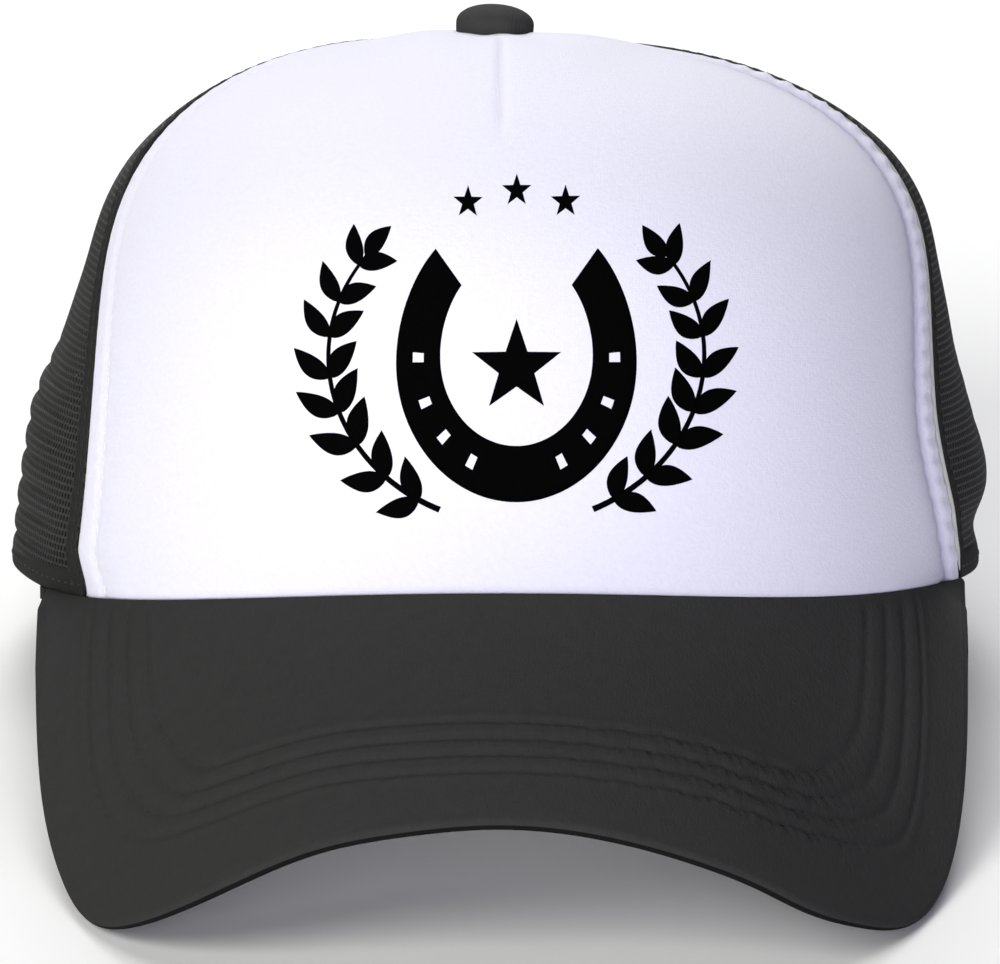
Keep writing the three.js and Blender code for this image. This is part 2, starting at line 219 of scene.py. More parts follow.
def makeMesh(name, points, faceSets, cloth):
    mesh = bpy.data.meshes.new(name)
    loops = np.concatenate([f.ravel() for f in faceSets]).astype(np.int32)
    sizes = np.concatenate([np.full(len(f), f.shape[1]) for f in faceSets]).astype(np.int32)
    starts = np.concatenate([[0], np.cumsum(sizes)[:-1]]).astype(np.int32)
    mesh.vertices.add(len(points))
    mesh.vertices.foreach_set("co", toRow(points).astype(np.float32).ravel())
    mesh.loops.add(len(loops))
    mesh.loops.foreach_set("vertex_index", loops)
    mesh.polygons.add(len(sizes))
    mesh.polygons.foreach_set("loop_start", starts)
    mesh.polygons.foreach_set("loop_total", sizes)
    mesh.polygons.foreach_set("use_smooth", np.ones(len(sizes), bool))
    # Flat coordinates in millimetres for the finishes, with a third value that paints shade on the knit
    flat = np.zeros((len(points), 3), np.float32)
    flat[:, : cloth.shape[-1]] = cloth
    mesh.attributes.new("cloth", "FLOAT_VECTOR", "POINT").data.foreach_set("vector", flat.ravel())
    mesh.update(calc_edges=True)
    mesh.validate()
    return mesh


def addObject(name, data):
    made = bpy.data.objects.new(name, data)
    bpy.context.scene.collection.objects.link(made)
    return made


def addPiece(mesh, finishNames, stands=(), sharp=None):
    piece = addObject(mesh.name, mesh)
    for name in finishNames:
        mesh.materials.append(finishes[name])
    if sharp is not None:
        mesh.set_sharp_from_angle(angle=np.radians(sharp))
    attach(piece, "root")
    if stands:
        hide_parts(*stands)
    return piece


def wallMesh(name, face, back, cloth):
    # A closed wall between two grids of points, whose face looks along columns crossed with rows
    rows, cols = face.shape[:2]
    f, b = np.arange(2 * rows * cols).reshape(2, rows, cols)
    quads = np.concatenate([
        quadsOf(f[:-1, :-1], f[:-1, 1:], f[1:, 1:], f[1:, :-1]),
        quadsOf(b[:-1, :-1], b[1:, :-1], b[1:, 1:], b[:-1, 1:]),
        quadsOf(f[0, :-1], b[0, :-1], b[0, 1:], f[0, 1:]),
        quadsOf(f[-1, :-1], f[-1, 1:], b[-1, 1:], b[-1, :-1]),
        quadsOf(f[:-1, 0], f[1:, 0], b[1:, 0], b[:-1, 0]),
        quadsOf(f[:-1, -1], b[:-1, -1], b[1:, -1], f[1:, -1]),
    ])
    points = np.concatenate([face.reshape(-1, 3), back.reshape(-1, 3)])
    mesh = makeMesh(name, points, [quads], np.tile(cloth.reshape(-1, cloth.shape[-1]), (2, 1)))
    # 1 for each quad of the back
    half = (rows - 1) * (cols - 1)
    isBack = np.zeros(len(quads), np.int32)
    isBack[half: 2 * half] = 1
    return mesh, isBack


def tubeParts(path, out, profile, start=0):
    # A closed tube: a profile of (across, out) points carried along a path, with its ends capped
    along = unit(np.gradient(path, axis=0))
    out = unit(out - along * np.sum(out * along, -1, keepdims=True))
    across = np.cross(out, along)
    profile = np.broadcast_to(profile, (len(path),) + profile.shape[-2:])
    rings = path[:, None] + across[:, None] * profile[..., :1] + out[:, None] * profile[..., 1:]
    ids = np.arange(rings[..., 0].size).reshape(rings.shape[:2]) + start
    caps = np.stack([ids[0, ::-1], ids[-1]])
    girth = runLength(np.concatenate([rings[0], rings[0, :1]]))[:-1]
    cloth = np.stack(np.broadcast_arrays(runLength(path)[:, None], girth[None]), -1)
    return rings.reshape(-1, 3), ringQuads(ids), caps, cloth.reshape(-1, 2)


def tubesMesh(name, tubes):
    # Several tubes in one mesh
    points, quads, caps, cloths = [], [], [], []
    for path, out, profile in tubes:
        made = tubeParts(path, out, profile, sum(len(p) for p in points))
        for store, part in zip((points, quads, caps, cloths), made):
            store.append(part)
    return makeMesh(name, np.concatenate(points), joinFaces(*quads, *caps), np.concatenate(cloths))


def oval(halfWidth, halfHeight, sides, power=2.0):
    # Points round a superellipse, anticlockwise
    a = fullTurn(sides)
    bend = 2 / power
    x = halfWidth * np.sign(np.cos(a)) * np.abs(np.cos(a)) ** bend
    y = halfHeight * np.sign(np.sin(a)) * np.abs(np.sin(a)) ** bend
    return np.stack([x, y], 1)


# Each kind of stitch: pitch, length and width
stitchSizes = {
    "panel": (3.0, 2.4, 0.36), "tape": (2.7, 2.0, 0.4), "hem": (3.0, 2.3, 0.4), "peak": (3.1, 2.5, 0.34),
    "binding": (2.9, 2.2, 0.42), "sweatband": (3.4, 2.6, 0.45),
}
# A stitch's four rings along it: place by its length, radius by half its width, rise by its width
stitchRings = {
    "place": (-0.5, -0.3, 0.3, 0.5), "radius": (0.5, 1, 1, 0.5), "rise": (-0.5, 0.15, 0.15, -0.5), "sides": 6,
}


def stitchMesh(name, rows):
    # Stitches along lines: each is a short bead of four rings, sunk at its two ends
    points, faces, ends, total = [], [], [], 0
    place, radius, rise = (np.array(stitchRings[k]) for k in ("place", "radius", "rise"))
    a = fullTurn(stitchRings["sides"])[:, None]
    for line, out, kind in rows:
        pitch, length, wide = stitchSizes[kind]
        run = runLength(line)
        spots = np.arange(pitch / 2, run[-1], pitch)[:, None] + place * length
        middle = np.stack([np.interp(spots, run, line[:, i]) for i in range(3)], -1)
        normal = unit(np.stack([np.interp(spots, run, out[:, i]) for i in range(3)], -1))
        across = np.cross(normal, unit(middle[:, -1:] - middle[:, :1]))
        ring = across[:, :, None] * np.cos(a) + normal[:, :, None] * np.sin(a)
        middle = middle + normal * rise[:, None] * wide
        rings = middle[:, :, None] + ring * radius[:, None, None] * wide / 2
        ids = np.arange(rings[..., 0].size).reshape(rings.shape[:3]) + total
        faces.append(ringQuads(ids))
        ends += [ids[:, 0, ::-1], ids[:, -1]]
        points.append(rings.reshape(-1, 3))
        total += ids.size
    points = np.concatenate(points)
    return makeMesh(name, points, joinFaces(*faces, *ends), points)


# Finishes

def newFinish(name, colour, roughness, shine=0.5, sheen=0.0):
    finish = bpy.data.materials.new(name)
    finish.use_nodes = True
    finish.diffuse_color = (*colour, 1)
    shader = finish.node_tree.nodes["Principled BSDF"]
    values = {"Base Color": (*colour, 1), "Roughness": roughness, "Specular IOR Level": shine}
    for socket, value in {**values, "Sheen Weight": sheen}.items():
        shader.inputs[socket].default_value = value
    return finish, finish.node_tree, shader


def node(tree, kind, settings=None, **inputs):
    # An input is given by its name, or as i and its number
    made = tree.nodes.new(kind)
    for key, value in (settings or {}).items():
        setattr(made, key, value)
    for key, value in inputs.items():
        socket = made.inputs[int(key[1:]) if key[1:].isdigit() else key]
        if hasattr(value, "is_linked"):
            tree.links.new(value, socket)
        else:
            socket.default_value = value
    return made


def mathNode(tree, operation, a, b=0.0, c=0.0):
    return node(tree, "ShaderNodeMath", {"operation": operation}, i0=a, i1=b, i2=c).outputs[0]


def flatOf(tree):
    # The piece's own flat coordinates in millimetres
    return node(tree, "ShaderNodeAttribute", {"attribute_name": "cloth"}).outputs["Vector"]


def partsOf(tree, vector):
    return node(tree, "ShaderNodeSeparateXYZ", i0=vector).outputs


def noiseOf(tree, vector, scale, detail=2.0, rough=0.5):
    made = node(tree, "ShaderNodeTexNoise", {}, Vector=vector, Scale=scale, Detail=detail, Roughness=rough)
    return made.outputs["Fac"]


def drawnOut(tree, vector, across, along):
    # Noise of yarns: the flat coordinates are scaled differently along their two ways
    x, y = (mathNode(tree, "MULTIPLY", part, k) for part, k in zip(partsOf(tree, vector), (across, along)))
    return noiseOf(tree, node(tree, "ShaderNodeCombineXYZ", i0=x, i1=y).outputs[0], 1, 3, 0.6)


def wave(tree, coordinate, pitch):
    # A sine from 0 to 1 along a coordinate
    turned = mathNode(tree, "MULTIPLY", coordinate, 2 * np.pi / pitch)
    return mathNode(tree, "MULTIPLY_ADD", mathNode(tree, "SINE", turned), 0.5, 0.5)


def tint(tree, shader, factor, dark, light):
    # The factor may run past 0 and 1, which carries the shade on beyond the two colours
    settings = {"data_type": "RGBA", "clamp_factor": False}
    mix = node(tree, "ShaderNodeMix", settings, i0=factor, i6=(*dark, 1), i7=(*light, 1))
    tree.links.new(mix.outputs[2], shader.inputs["Base Color"])


def bump(tree, shader, height, depth):
    made = node(tree, "ShaderNodeBump", {}, Strength=1.0, Distance=depth / 1000, Height=height)
    tree.links.new(made.outputs[0], shader.inputs["Normal"])


def knitFinish(name, dark, light, roughness, sheen, shine):
    # Brushed knit: faint wales and courses under a soft mottled nap, with painted shade darker where the
    # third value says so
    finish, tree, shader = newFinish(name, light, roughness, shine, sheen)
    flat = flatOf(tree)
    x, y, crease = partsOf(tree, flat)
    wales = wave(tree, x, 0.62)
    courses = wave(tree, mathNode(tree, "MULTIPLY_ADD", wales, 0.16, y), 0.5)
    knit = mathNode(tree, "MULTIPLY", wales, courses)
    nap = noiseOf(tree, flat, 1.25, 5, 0.7)
    bump(tree, shader, mathNode(tree, "MULTIPLY_ADD", knit, 0.07, nap), 0.16)
    mottle = noiseOf(tree, flat, 0.9, 5, 0.7)
    tint(tree, shader, mathNode(tree, "SUBTRACT", mottle, crease), dark, light)
    return finish


def wovenFinish(name, dark, light, roughness, depth):
    # Woven cloth: uneven yarns along and across, each a noise drawn out along its own way, with uneven dye
    finish, tree, shader = newFinish(name, light, roughness, 0.06)
    flat = flatOf(tree)
    warp, weft = drawnOut(tree, flat, 2.6, 0.55), drawnOut(tree, flat, 0.55, 2.6)
    fuzz = noiseOf(tree, flat, 1.9, 4, 0.65)
    bump(tree, shader, mathNode(tree, "ADD", mathNode(tree, "ADD", warp, weft), fuzz), depth)
    dye = noiseOf(tree, flat, 0.35, 5, 0.65)
    tint(tree, shader, mathNode(tree, "MULTIPLY", mathNode(tree, "ADD", dye, warp), 0.5), dark, light)
    return finish


def yarnFinish(name, dark, light, shine=0.3):
    # Twisted polyester yarn: fine slanted strands and small changes of shade from cell to cell
    finish, tree, shader = newFinish(name, light, 0.62, shine, 0.05)
    flat = flatOf(tree)
    x, y, _ = partsOf(tree, flat)
    strands = wave(tree, mathNode(tree, "MULTIPLY_ADD", y, 1.4, x), 0.3)
    bump(tree, shader, mathNode(tree, "ADD", strands, noiseOf(tree, flat, 3, 2)), 0.05)
    tint(tree, shader, noiseOf(tree, flat, 0.4, 4, 0.6), dark, light)
    return finish


def foamFinish(name):
    # Open foam: small round cells whose pits are painted darker, a painted shade in the hollows
    finish, tree, shader = newFinish(name, (0.62, 0.62, 0.63), 0.95)
    cells = node(tree, "ShaderNodeTexVoronoi", {}, Vector=flatOf(tree), Scale=1.3).outputs["Distance"]
    bump(tree, shader, cells, 0.25)
    tint(tree, shader, cells, (0.42, 0.42, 0.43), (0.7, 0.7, 0.71))
    return finish


def plasticFinish(name):
    # Satin moulded plastic with a faint grain and soft handling marks
    finish, tree, shader = newFinish(name, (0.018, 0.018, 0.02), 0.38)
    flat = flatOf(tree)
    bump(tree, shader, noiseOf(tree, flat, 2.2, 4), 0.02)
    marks = noiseOf(tree, flat, 0.18, 5, 0.7)
    tree.links.new(mathNode(tree, "MULTIPLY_ADD", marks, 0.25, 0.28), shader.inputs["Roughness"])
    tint(tree, shader, marks, (0.015, 0.015, 0.017), (0.024, 0.024, 0.026))
    return finish


def grey(shade):
    return (shade, shade, shade)


# Each finish: its dark and light shades, then roughness and depth of weave, or roughness, sheen and shine
finishes = {
    "knit": knitFinish("white brushed knit", (0.75, 0.74, 0.88), (0.86, 0.85, 0.97), 0.85, 0.15, 0.2),
    "ink": knitFinish("black print on knit", grey(0.001), grey(0.002), 1.0, 0.0, 0.01),
    "foam": foamFinish("pale foam back"),
    "twill": wovenFinish("charcoal cloth", grey(0.025), grey(0.041), 0.85, 0.14),
    # The button's cloth is the peak's charcoal cloth painted lighter: painted light
    "paintedLightButtonCloth": wovenFinish("charcoal button cloth with painted light", grey(0.036), grey(0.056), 0.85, 0.14),
    "underside": wovenFinish("black underside cloth", grey(0.006), grey(0.009), 0.9, 0.1),
    "tape": wovenFinish("charcoal seam tape", grey(0.019), grey(0.027), 0.85, 0.08),
    "band": wovenFinish("black band cloth", grey(0.012), grey(0.02), 0.9, 0.12),
    "piping": wovenFinish("cream seam edge", (0.5, 0.49, 0.46), (0.66, 0.65, 0.62), 0.85, 0.08),
    "yarn": yarnFinish("charcoal net yarn", grey(0.018), grey(0.027)),
    "thread": yarnFinish("charcoal thread", grey(0.016), grey(0.026), 0.08),
    "whiteThread": yarnFinish("white thread", (0.75, 0.75, 0.8), (0.88, 0.88, 0.92)),
    "plastic": plasticFinish("black snap plastic"),
}
print("finishes made:", len(finishes))

# Button: a dome covered in the peak's cloth, given a lighter copy of its colour as painted light, with the
# cloth gathered under its edge
button = {
    "radius": 7.1, "height": 5.9, "x": -1.6, "tilt": 3.4, "side": 0.4, "bend": 0.95, "gathers": 9,
    "gatherDepth": 0.014, "footShare": 0.3, "topTurn": 88, "domeRings": 26, "sideRings": 8, "columns": 96,
}


def makeButton():
    b = button
    low = np.linspace(0, 1, b["sideRings"] + 1)[:-1]
    turn = np.radians(np.linspace(0, b["topTurn"], b["domeRings"]))
    rise = np.concatenate([low * b["side"], b["side"] + (1 - b["side"]) * np.sin(turn) ** b["bend"]])
    reach = np.concatenate([0.975 + 0.025 * np.sin(low * np.pi / 2), np.cos(turn) ** b["bend"]])[:, None]
    a = fullTurn(b["columns"])
    gathers = np.sin(b["gathers"] * a + 0.6 * np.sin(2 * a)) * (1 - ease(rise, 0.2, 0.75))[:, None]
    radius = b["radius"] * (reach + b["gatherDepth"] * gathers)
    dome = atHeight(np.stack([radius * np.cos(a), radius * np.sin(a)], -1), rise[:, None] * b["height"])
    rings = np.concatenate([dome[:1] * [b["footShare"], b["footShare"], 1], dome])
    points = np.concatenate([rings.reshape(-1, 3), [[0, 0, b["height"]]]])
    t = np.radians(b["tilt"])
    x, y, z = points.T
    turned = np.stack([x * np.cos(t) + z * np.sin(t), y, z * np.cos(t) - x * np.sin(t)], 1)
    place = turned + [b["x"], crown["topBack"], crown["height"] + crown["seamGap"]]
    ids = np.arange(len(points) - 1).reshape(-1, b["columns"])
    faces = joinFaces(ringQuads(ids), fanOf(ids[-1], len(points) - 1), ids[:1, ::-1])
    addPiece(makeMesh("topButton", place, faces, points), ["paintedLightButtonCloth"], ["top_button"])


# Front panel: foam under brushed knit, with a topstitched strip beside each side seam
panel = {
    "rows": 150, "middleColumns": 140, "stripColumns": 22, "edgeColumns": 6, "edgeShare": 0.012,
    "stripShare": 0.09, "footClimbs": (0, 0.12, 0.35, 0.7, 1.1), "fromClimb": 1.6, "thickness": 3.0,
    "roll": 1.35, "topRoll": 0.45, "stitchInset": 7.0, "stitchDepth": 1.0, "stitchWidth": 1.15,
    "puffPitch": 4.1, "puffHeight": 0.5, "sides": {"left": 0.35, "right": 1.0}, "flatten": (58, 74),
    "threadTop": 61, "threadSunk": 0.1,
    # Where the strip rises from its seam, and how far before the stitching it falls
    "stripRises": (0.6, 2.5), "stripFalls": (2, 0.3), "puffWander": 23,
    # Just inside the stitching: distance in and width, with a share of its depth or the height of small puffs
    "slope": (1.4, 2.6, 0.45), "smallPuffs": (1.5, 1.8, 0.12),
    # Painted shade inside the right stitching: distance in, width and strength
    "creases": ((1.1, 1.5, 1.0), (3.5, 5, 0.45)), "paintedCreaseShade": 1.7,
    "dartX": -0.3, "dartFoot": (50, 58), "dartTop": (80, 86), "dartDepth": 0.42, "dartWidth": 0.9,
    "paintedDartShade": 0.7, "uneven": 0.22, "unevenPitch": 46, "footDrop": (0.5, 0.8),
    # A soft ridge in front of the button and beside it: its height, then where it rises and falls
    "ridge": 1.3, "ridgeRises": (-25, -12), "ridgeFalls": (12, 31), "ridgeClimb": (64, 78),
    "ridgeClear": (6.0, 7.2),
}


def panelUneven(azimuth, climb):
    # The soft front isn't quite smooth: it has slow swells about a fifth of a millimetre deep
    return panel["uneven"] * waviness(azimuth, climb, panel["unevenPitch"])


def stripDip(away, upRun):
    # A strip stands up in small puffs beside its seam, then sinks along its stitching and slopes out again
    p = panel
    inset = p["stitchInset"]
    slopeIn, slopeWidth, slopeShare = p["slope"]
    puffIn, puffWidth, puffHeight = p["smallPuffs"]
    slope = slopeShare * bell(away, inset + slopeIn, slopeWidth) * (away > inset)
    groove = p["stitchDepth"] * np.maximum(bell(away, inset, p["stitchWidth"]), slope)
    onStrip = plateau(away, p["stripRises"], [inset - before for before in p["stripFalls"]])
    puffs = np.cos(2 * np.pi * upRun / p["puffPitch"] + 1.3 * waviness(upRun, away, p["puffWander"]))
    raised = p["puffHeight"] * onStrip * (0.7 + 0.6 * puffs)
    return groove - raised + puffHeight * puffs * bell(away, inset + puffIn, puffWidth)


def makeFrontPanel():
    p = panel
    edge, strip = p["edgeShare"], p["stripShare"]
    stops = (0, edge, strip, 1 - strip, 1 - edge, 1)
    counts = [p[part + "Columns"] for part in ("edge", "strip", "middle", "strip", "edge")]
    shares = [np.linspace(a, b, n)[:-1] for a, b, n in zip(stops, stops[1:], counts)]
    climb = np.linspace(p["fromClimb"], crown["topHole"], p["rows"])
    climb = np.concatenate([p["footClimbs"], climb])[:, None]
    gap = gapAngle(climb)
    left, right = frontSeamAt(-1, climb) + gap, frontSeamAt(1, climb) - gap
    azimuth = left + (right - left) * np.concatenate(shares + [[1]])
    climb = np.broadcast_to(climb, azimuth.shape)
    bare = crownPoint(azimuth, climb)
    x, y = bare[..., 0], bare[..., 1]
    run, upRun = runLength(bare, 1), runLength(bare, 0)
    away = {"left": run, "right": run[:, -1:] - run}
    low = 1 - ease(climb, *p["flatten"])
    dip = panelUneven(azimuth, climb)
    for side in ("left", "right"):
        dip = dip + p["sides"][side] * low * stripDip(away[side], upRun)
    # A short dart closes the top of the panel under the button
    dart = plateau(climb, p["dartFoot"], p["dartTop"]) * bell(x, p["dartX"], p["dartWidth"])
    dip = dip + p["dartDepth"] * dart
    fromButton = np.hypot(x - button["x"], y - crown["topBack"])
    ridge = plateau(x, p["ridgeRises"], p["ridgeFalls"]) * ease(climb, *p["ridgeClimb"])
    dip = dip - p["ridge"] * ridge * ease(fromButton, *p["ridgeClear"])
    fromEdge = np.minimum(np.minimum(away["left"], away["right"]), upRun)
    roll = rolled(fromEdge, p["roll"]) * (p["topRoll"] + (1 - p["topRoll"]) * low)
    face = crownAt(azimuth, climb, dip + roll)
    back = crownAt(azimuth, climb, p["thickness"] - roll)
    # The foot of the panel sits down on the peak, a little farther on the right
    leftDrop, rightDrop = p["footDrop"]
    drop = (leftDrop + (rightDrop - leftDrop) * ease(azimuth, -60, 60)) * (1 - ease(climb, 0, 3))
    face[..., 2] -= drop
    back[..., 2] -= drop
    # Painted shade: the knit's third value darkens a band inside the right topstitching, fading towards the
    # top
    inside = away["right"] - p["stitchInset"]
    crease = sum(share * bell(inside, far, wide) for far, wide, share in p["creases"])
    # Painted shade along the dart line as well, on the same third value
    shade = p["paintedCreaseShade"] * low * crease + p["paintedDartShade"] * dart**2
    mesh, isBack = wallMesh("frontPanel", face, back, np.stack([run - run[:, -1:] / 2, upRun, shade], -1))
    made = addPiece(mesh, ["knit", "foam"], ["front_panel"])
    mesh.polygons.foreach_set("material_index", isBack)
    # Lines of the topstitching, for the thread
    lines = []
    use = climb[:, 0] < p["threadTop"]
    up = climb[use, 0]
    for side, flip in (("left", 1), ("right", -1)):
        rows = zip(away[side][use], azimuth[use])
        at = np.array([np.interp(p["stitchInset"], a[::flip], z[::flip]) for a, z in rows])
        sunk = p["sides"][side] * (1 - ease(up, *p["flatten"])) * p["stitchDepth"]
        sunk = sunk + panelUneven(at, up) + p["threadSunk"]
        lines.append((crownAt(at, up, sunk), crownOut(at, up), "panel"))
    return lines


panelStitchLines = makeFrontPanel()
print("front panel made")

# A good-luck emblem in black on the front: a horseshoe round a star, between two leafy sprays
emblem = {
    "middle": (2.6, 48.6), "lift": 0.05, "thickness": 0.12,
    "shoeRadius": 17.2, "shoeHeight": 1.14, "heelHeight": 0.12, "shoeWidth": 8.6, "heelWidth": 6.6,
    "shoeSweep": 272, "shoeColumns": 120, "shoeRows": 8, "holes": 4, "holeSpan": (0.2, 0.66),
    "starRadius": 8.2, "starWaist": 0.4, "starMiddle": (0, -1.2), "smallStar": 2.7,
    "smallStars": ((0, 28.2), (-8.6, 26.3), (8.6, 26.3)),
    "sprayRadius": 33.0, "sprayTall": 0.86, "sprayFrom": -66, "sprayTo": 38, "stemWidth": 1.1, "leaves": 8,
    "leafLength": 8.7, "leafWidth": 3.9, "leafLean": 0.78, "tipLeaf": 0.8,
}


def onPanel(flat):
    # Finds the crown's azimuth and climb behind each point of the upright print plane, by Newton's method
    goal = flat + emblem["middle"]
    azimuth = np.degrees(np.arcsin(np.clip(goal[:, 0] / crown["halfWidth"], -0.9, 0.9)))
    climb = np.degrees(np.arctan2(goal[:, 1], crown["height"]))
    h = 0.05
    for _ in range(12):
        here = crownPoint(azimuth, climb)[:, [0, 2]]
        ax, az = ((crownPoint(azimuth + h, climb)[:, [0, 2]] - here) / h).T
        cx, cz = ((crownPoint(azimuth, climb + h)[:, [0, 2]] - here) / h).T
        missX, missZ = (goal - here).T
        det = ax * cz - az * cx
        azimuth = azimuth + np.clip((missX * cz - missZ * cx) / det, -8, 8)
        climb = climb + np.clip((ax * missZ - az * missX) / det, -8, 8)
    return crownAt(azimuth, climb, panelUneven(azimuth, climb) - emblem["lift"])


def patch(x, y, keep=None):
    # Points and quads of one flat patch, leaving out the cells that keep marks as False
    ids = np.arange(x.size).reshape(x.shape)
    quads = quadsOf(ids[:-1, :-1], ids[:-1, 1:], ids[1:, 1:], ids[1:, :-1])
    quads = quads if keep is None else quads[keep.ravel()]
    return np.stack([x.ravel(), y.ravel()], 1), quads, np.zeros((0, 3), int)


def horseshoe():
    # A band carried round a tall oval, open at the top, narrower at its heels, with nail holes
    e = emblem
    over = np.linspace(-1, 1, e["shoeColumns"] + 1)[None]
    turn = np.radians(over * e["shoeSweep"] / 2 - 90)
    across = np.linspace(-0.5, 0.5, e["shoeRows"] + 1)[:, None]
    radius = e["shoeRadius"] - across * (e["heelWidth"] + (e["shoeWidth"] - e["heelWidth"]) * (1 - over**2))
    tall = e["shoeHeight"] + e["heelHeight"] * ease(np.abs(over), 0.4, 1)
    keep = np.ones((e["shoeRows"], e["shoeColumns"]), bool)
    middle = e["shoeColumns"] // 2
    for side in (-1, 1):
        starts = np.round(middle + side * np.linspace(*e["holeSpan"], e["holes"]) * middle).astype(int) - 1
        keep[3:5, np.concatenate([starts, starts + 1])] = False
    return patch(radius * np.cos(turn), radius * np.sin(turn) * tall, keep)


def star(x, y, radius):
    # Rings inside a star's ten-cornered outline, closed by a fan of triangles round its middle
    corner = np.arange(11)
    reach = np.where(corner % 2 == 0, radius, radius * emblem["starWaist"])
    spoke = corner * np.pi / 5
    corners = (-np.sin(spoke) * reach, np.cos(spoke) * reach)
    edge = np.stack([np.interp(np.arange(40) / 4, corner, c) for c in corners], 1)
    rings = edge * np.linspace(1, 0.15, 6)[:, None, None]
    points = np.concatenate([rings.reshape(-1, 2), [[0, 0]]]) + [x, y]
    ids = np.arange(len(points) - 1).reshape(6, 40)
    return points, ringQuads(ids), fanOf(ids[-1], len(points) - 1)


def leaf(x, y, heading, size):
    # A pointed oval: its half width is a sine of the share along it, fuller near the stalk
    t = np.linspace(0, 1, 15)[None]
    s = np.linspace(-1, 1, 7)[:, None]
    length, width = emblem["leafLength"] * size, emblem["leafWidth"] * size
    half = width / 2 * np.sin(np.pi * t**0.8) ** 0.9
    along, side = length * t + 0 * s, half * s + 0.06 * length * np.sin(np.pi * t)
    c, n = np.cos(heading), np.sin(heading)
    return patch(x + along * c - side * n, y + along * n + side * c)


def spray(side):
    # Leaves in pairs along an arc that rises beside the horseshoe, with one at its tip
    e = emblem
    count = 60
    turn = np.radians(np.linspace(e["sprayFrom"], e["sprayTo"], count))
    out = np.stack([side * np.cos(turn), np.sin(turn)], 1)
    stem = out * e["sprayRadius"] * [1, e["sprayTall"]]
    half = e["stemWidth"] / 2 * (1 - 0.5 * np.linspace(0, 1, count))[:, None]
    band = stem + out * half * np.linspace(-side, side, 3)[:, None, None]
    made = [patch(band[..., 0], band[..., 1])]
    heading = np.arctan2(*(stem[2:] - stem[:-2]).T[::-1])
    for i in range(e["leaves"]):
        at = (i + 0.6) / e["leaves"]
        k = int(at * (count - 1))
        for lean in (-e["leafLean"], e["leafLean"]):
            made.append(leaf(*stem[k], heading[k - 1] + lean, 1.0 - 0.35 * abs(at - 0.35)))
    made.append(leaf(*stem[-2], heading[-1], e["tipLeaf"]))
    return made


def makeEmblem():
    patches = [horseshoe(), star(*emblem["starMiddle"], emblem["starRadius"])]
    patches += [star(x, y, emblem["smallStar"]) for x, y in emblem["smallStars"]]
    patches += spray(-1) + spray(1)
    starts = np.cumsum([0] + [len(p[0]) for p in patches])
    flat = np.concatenate([p[0] for p in patches])
    faceSets = [np.concatenate([p[kind] + s for p, s in zip(patches, starts)]) for kind in (1, 2)]
    # Every face is turned towards the viewer of the print
    for faces in faceSets:
        a, b, c = (flat[faces[:, i]] for i in (0, 1, 2))
        area = (b[:, 0] - a[:, 0]) * (c[:, 1] - a[:, 1]) - (b[:, 1] - a[:, 1]) * (c[:, 0] - a[:, 0])
        faces[area < 0] = faces[area < 0][:, ::-1]
    made = addPiece(makeMesh("frontPrint", onPanel(flat), faceSets, flat), ["ink"])
    skin = made.modifiers.new("thickness", "SOLIDIFY")
    skin.thickness = emblem["thickness"] / 1000
    skin.offset = -1


makeEmblem()
print("print made")

# Net panels: real holes in a hexagonal lattice of yarn
netting = {
    "pitch": 1.55, "thickness": 0.5, "hole": 0.54, "depth": 0.45, "tableRows": 150, "tableColumns": 160,
    # Space kept at the foot and beside the seams in pitches, and round the rear opening in degrees
    "fromClimb": 0.6, "footSpace": 0.3, "edgeSpace": 0.15, "archSpace": 0.7,
    # Creases low on the sides, between two heights, with the left and right share of them
    "ripplePitch": 4.9, "rippleWidth": 1.0, "rippleDepth": 0.62, "rippleFrom": (66, 82),
    "rippleRises": (1, 4), "rippleFalls": (34, 46), "rippleShare": (1.0, 0.1), "rippleFades": (125, 150),
    "rippleFade": 0.6, "sag": 1.6, "sagTurns": 3.1, "wander": 0.9,
    # The right net's one fold: a notch and a swell, each as size, height and width
    "notch": (1.2, 9, 2.4), "swell": (0.9, 20, 6.5), "foldAzimuth": 100, "foldSpread": 17,
    "shoulder": 0.85, "shoulderAt": (76, 11), "shoulderFades": (115, 140), "uneven": 0.25,
    # How much lower the left and right nets lie at the top, and by which climb
    "topSink": (0.75, 0.15), "sinkClimb": (68, 82), "sinkFades": (125, 160),
}


def topSink(azimuth, climb):
    # Net and tapes lie a little lower behind the panel's top edge, more on the left
    deep = np.where(azimuth < 0, *netting["topSink"])
    return deep * ease(climb, *netting["sinkClimb"]) * (1 - ease(np.abs(azimuth), *netting["sinkFades"]))


def netDip(azimuth, climb):
    # The nets slump in soft creases low on the sides, deeper on the left; the right one has a single fold
    n = netting
    z = crownPoint(azimuth, climb)[..., 2]
    side = np.abs(azimuth)
    sag = z + n["sag"] * np.sin(np.radians(side * n["sagTurns"])) + n["wander"] * waviness(side, z, 31, 2)
    away = (sag / n["ripplePitch"] + 0.35) % 1 - 0.5
    crease = bell(away * n["ripplePitch"], 0, n["rippleWidth"])
    where = ease(side, *n["rippleFrom"]) * plateau(z, n["rippleRises"], n["rippleFalls"])
    amount = np.where(azimuth < 0, *n["rippleShare"]) * (1 - n["rippleFade"] * ease(side, *n["rippleFades"]))
    dip = n["rippleDepth"] * amount * where * (crease - 0.35)
    notch, swell = (size * bell(z, height, width) for size, height, width in (n["notch"], n["swell"]))
    dip = dip + (azimuth > 0) * bell(side, n["foldAzimuth"], n["foldSpread"]) * (notch - swell)
    dip = dip - n["shoulder"] * bell(z, *n["shoulderAt"]) * (1 - ease(side, *n["shoulderFades"]))
    return dip + n["uneven"] * waviness(side, z, 17, 5)


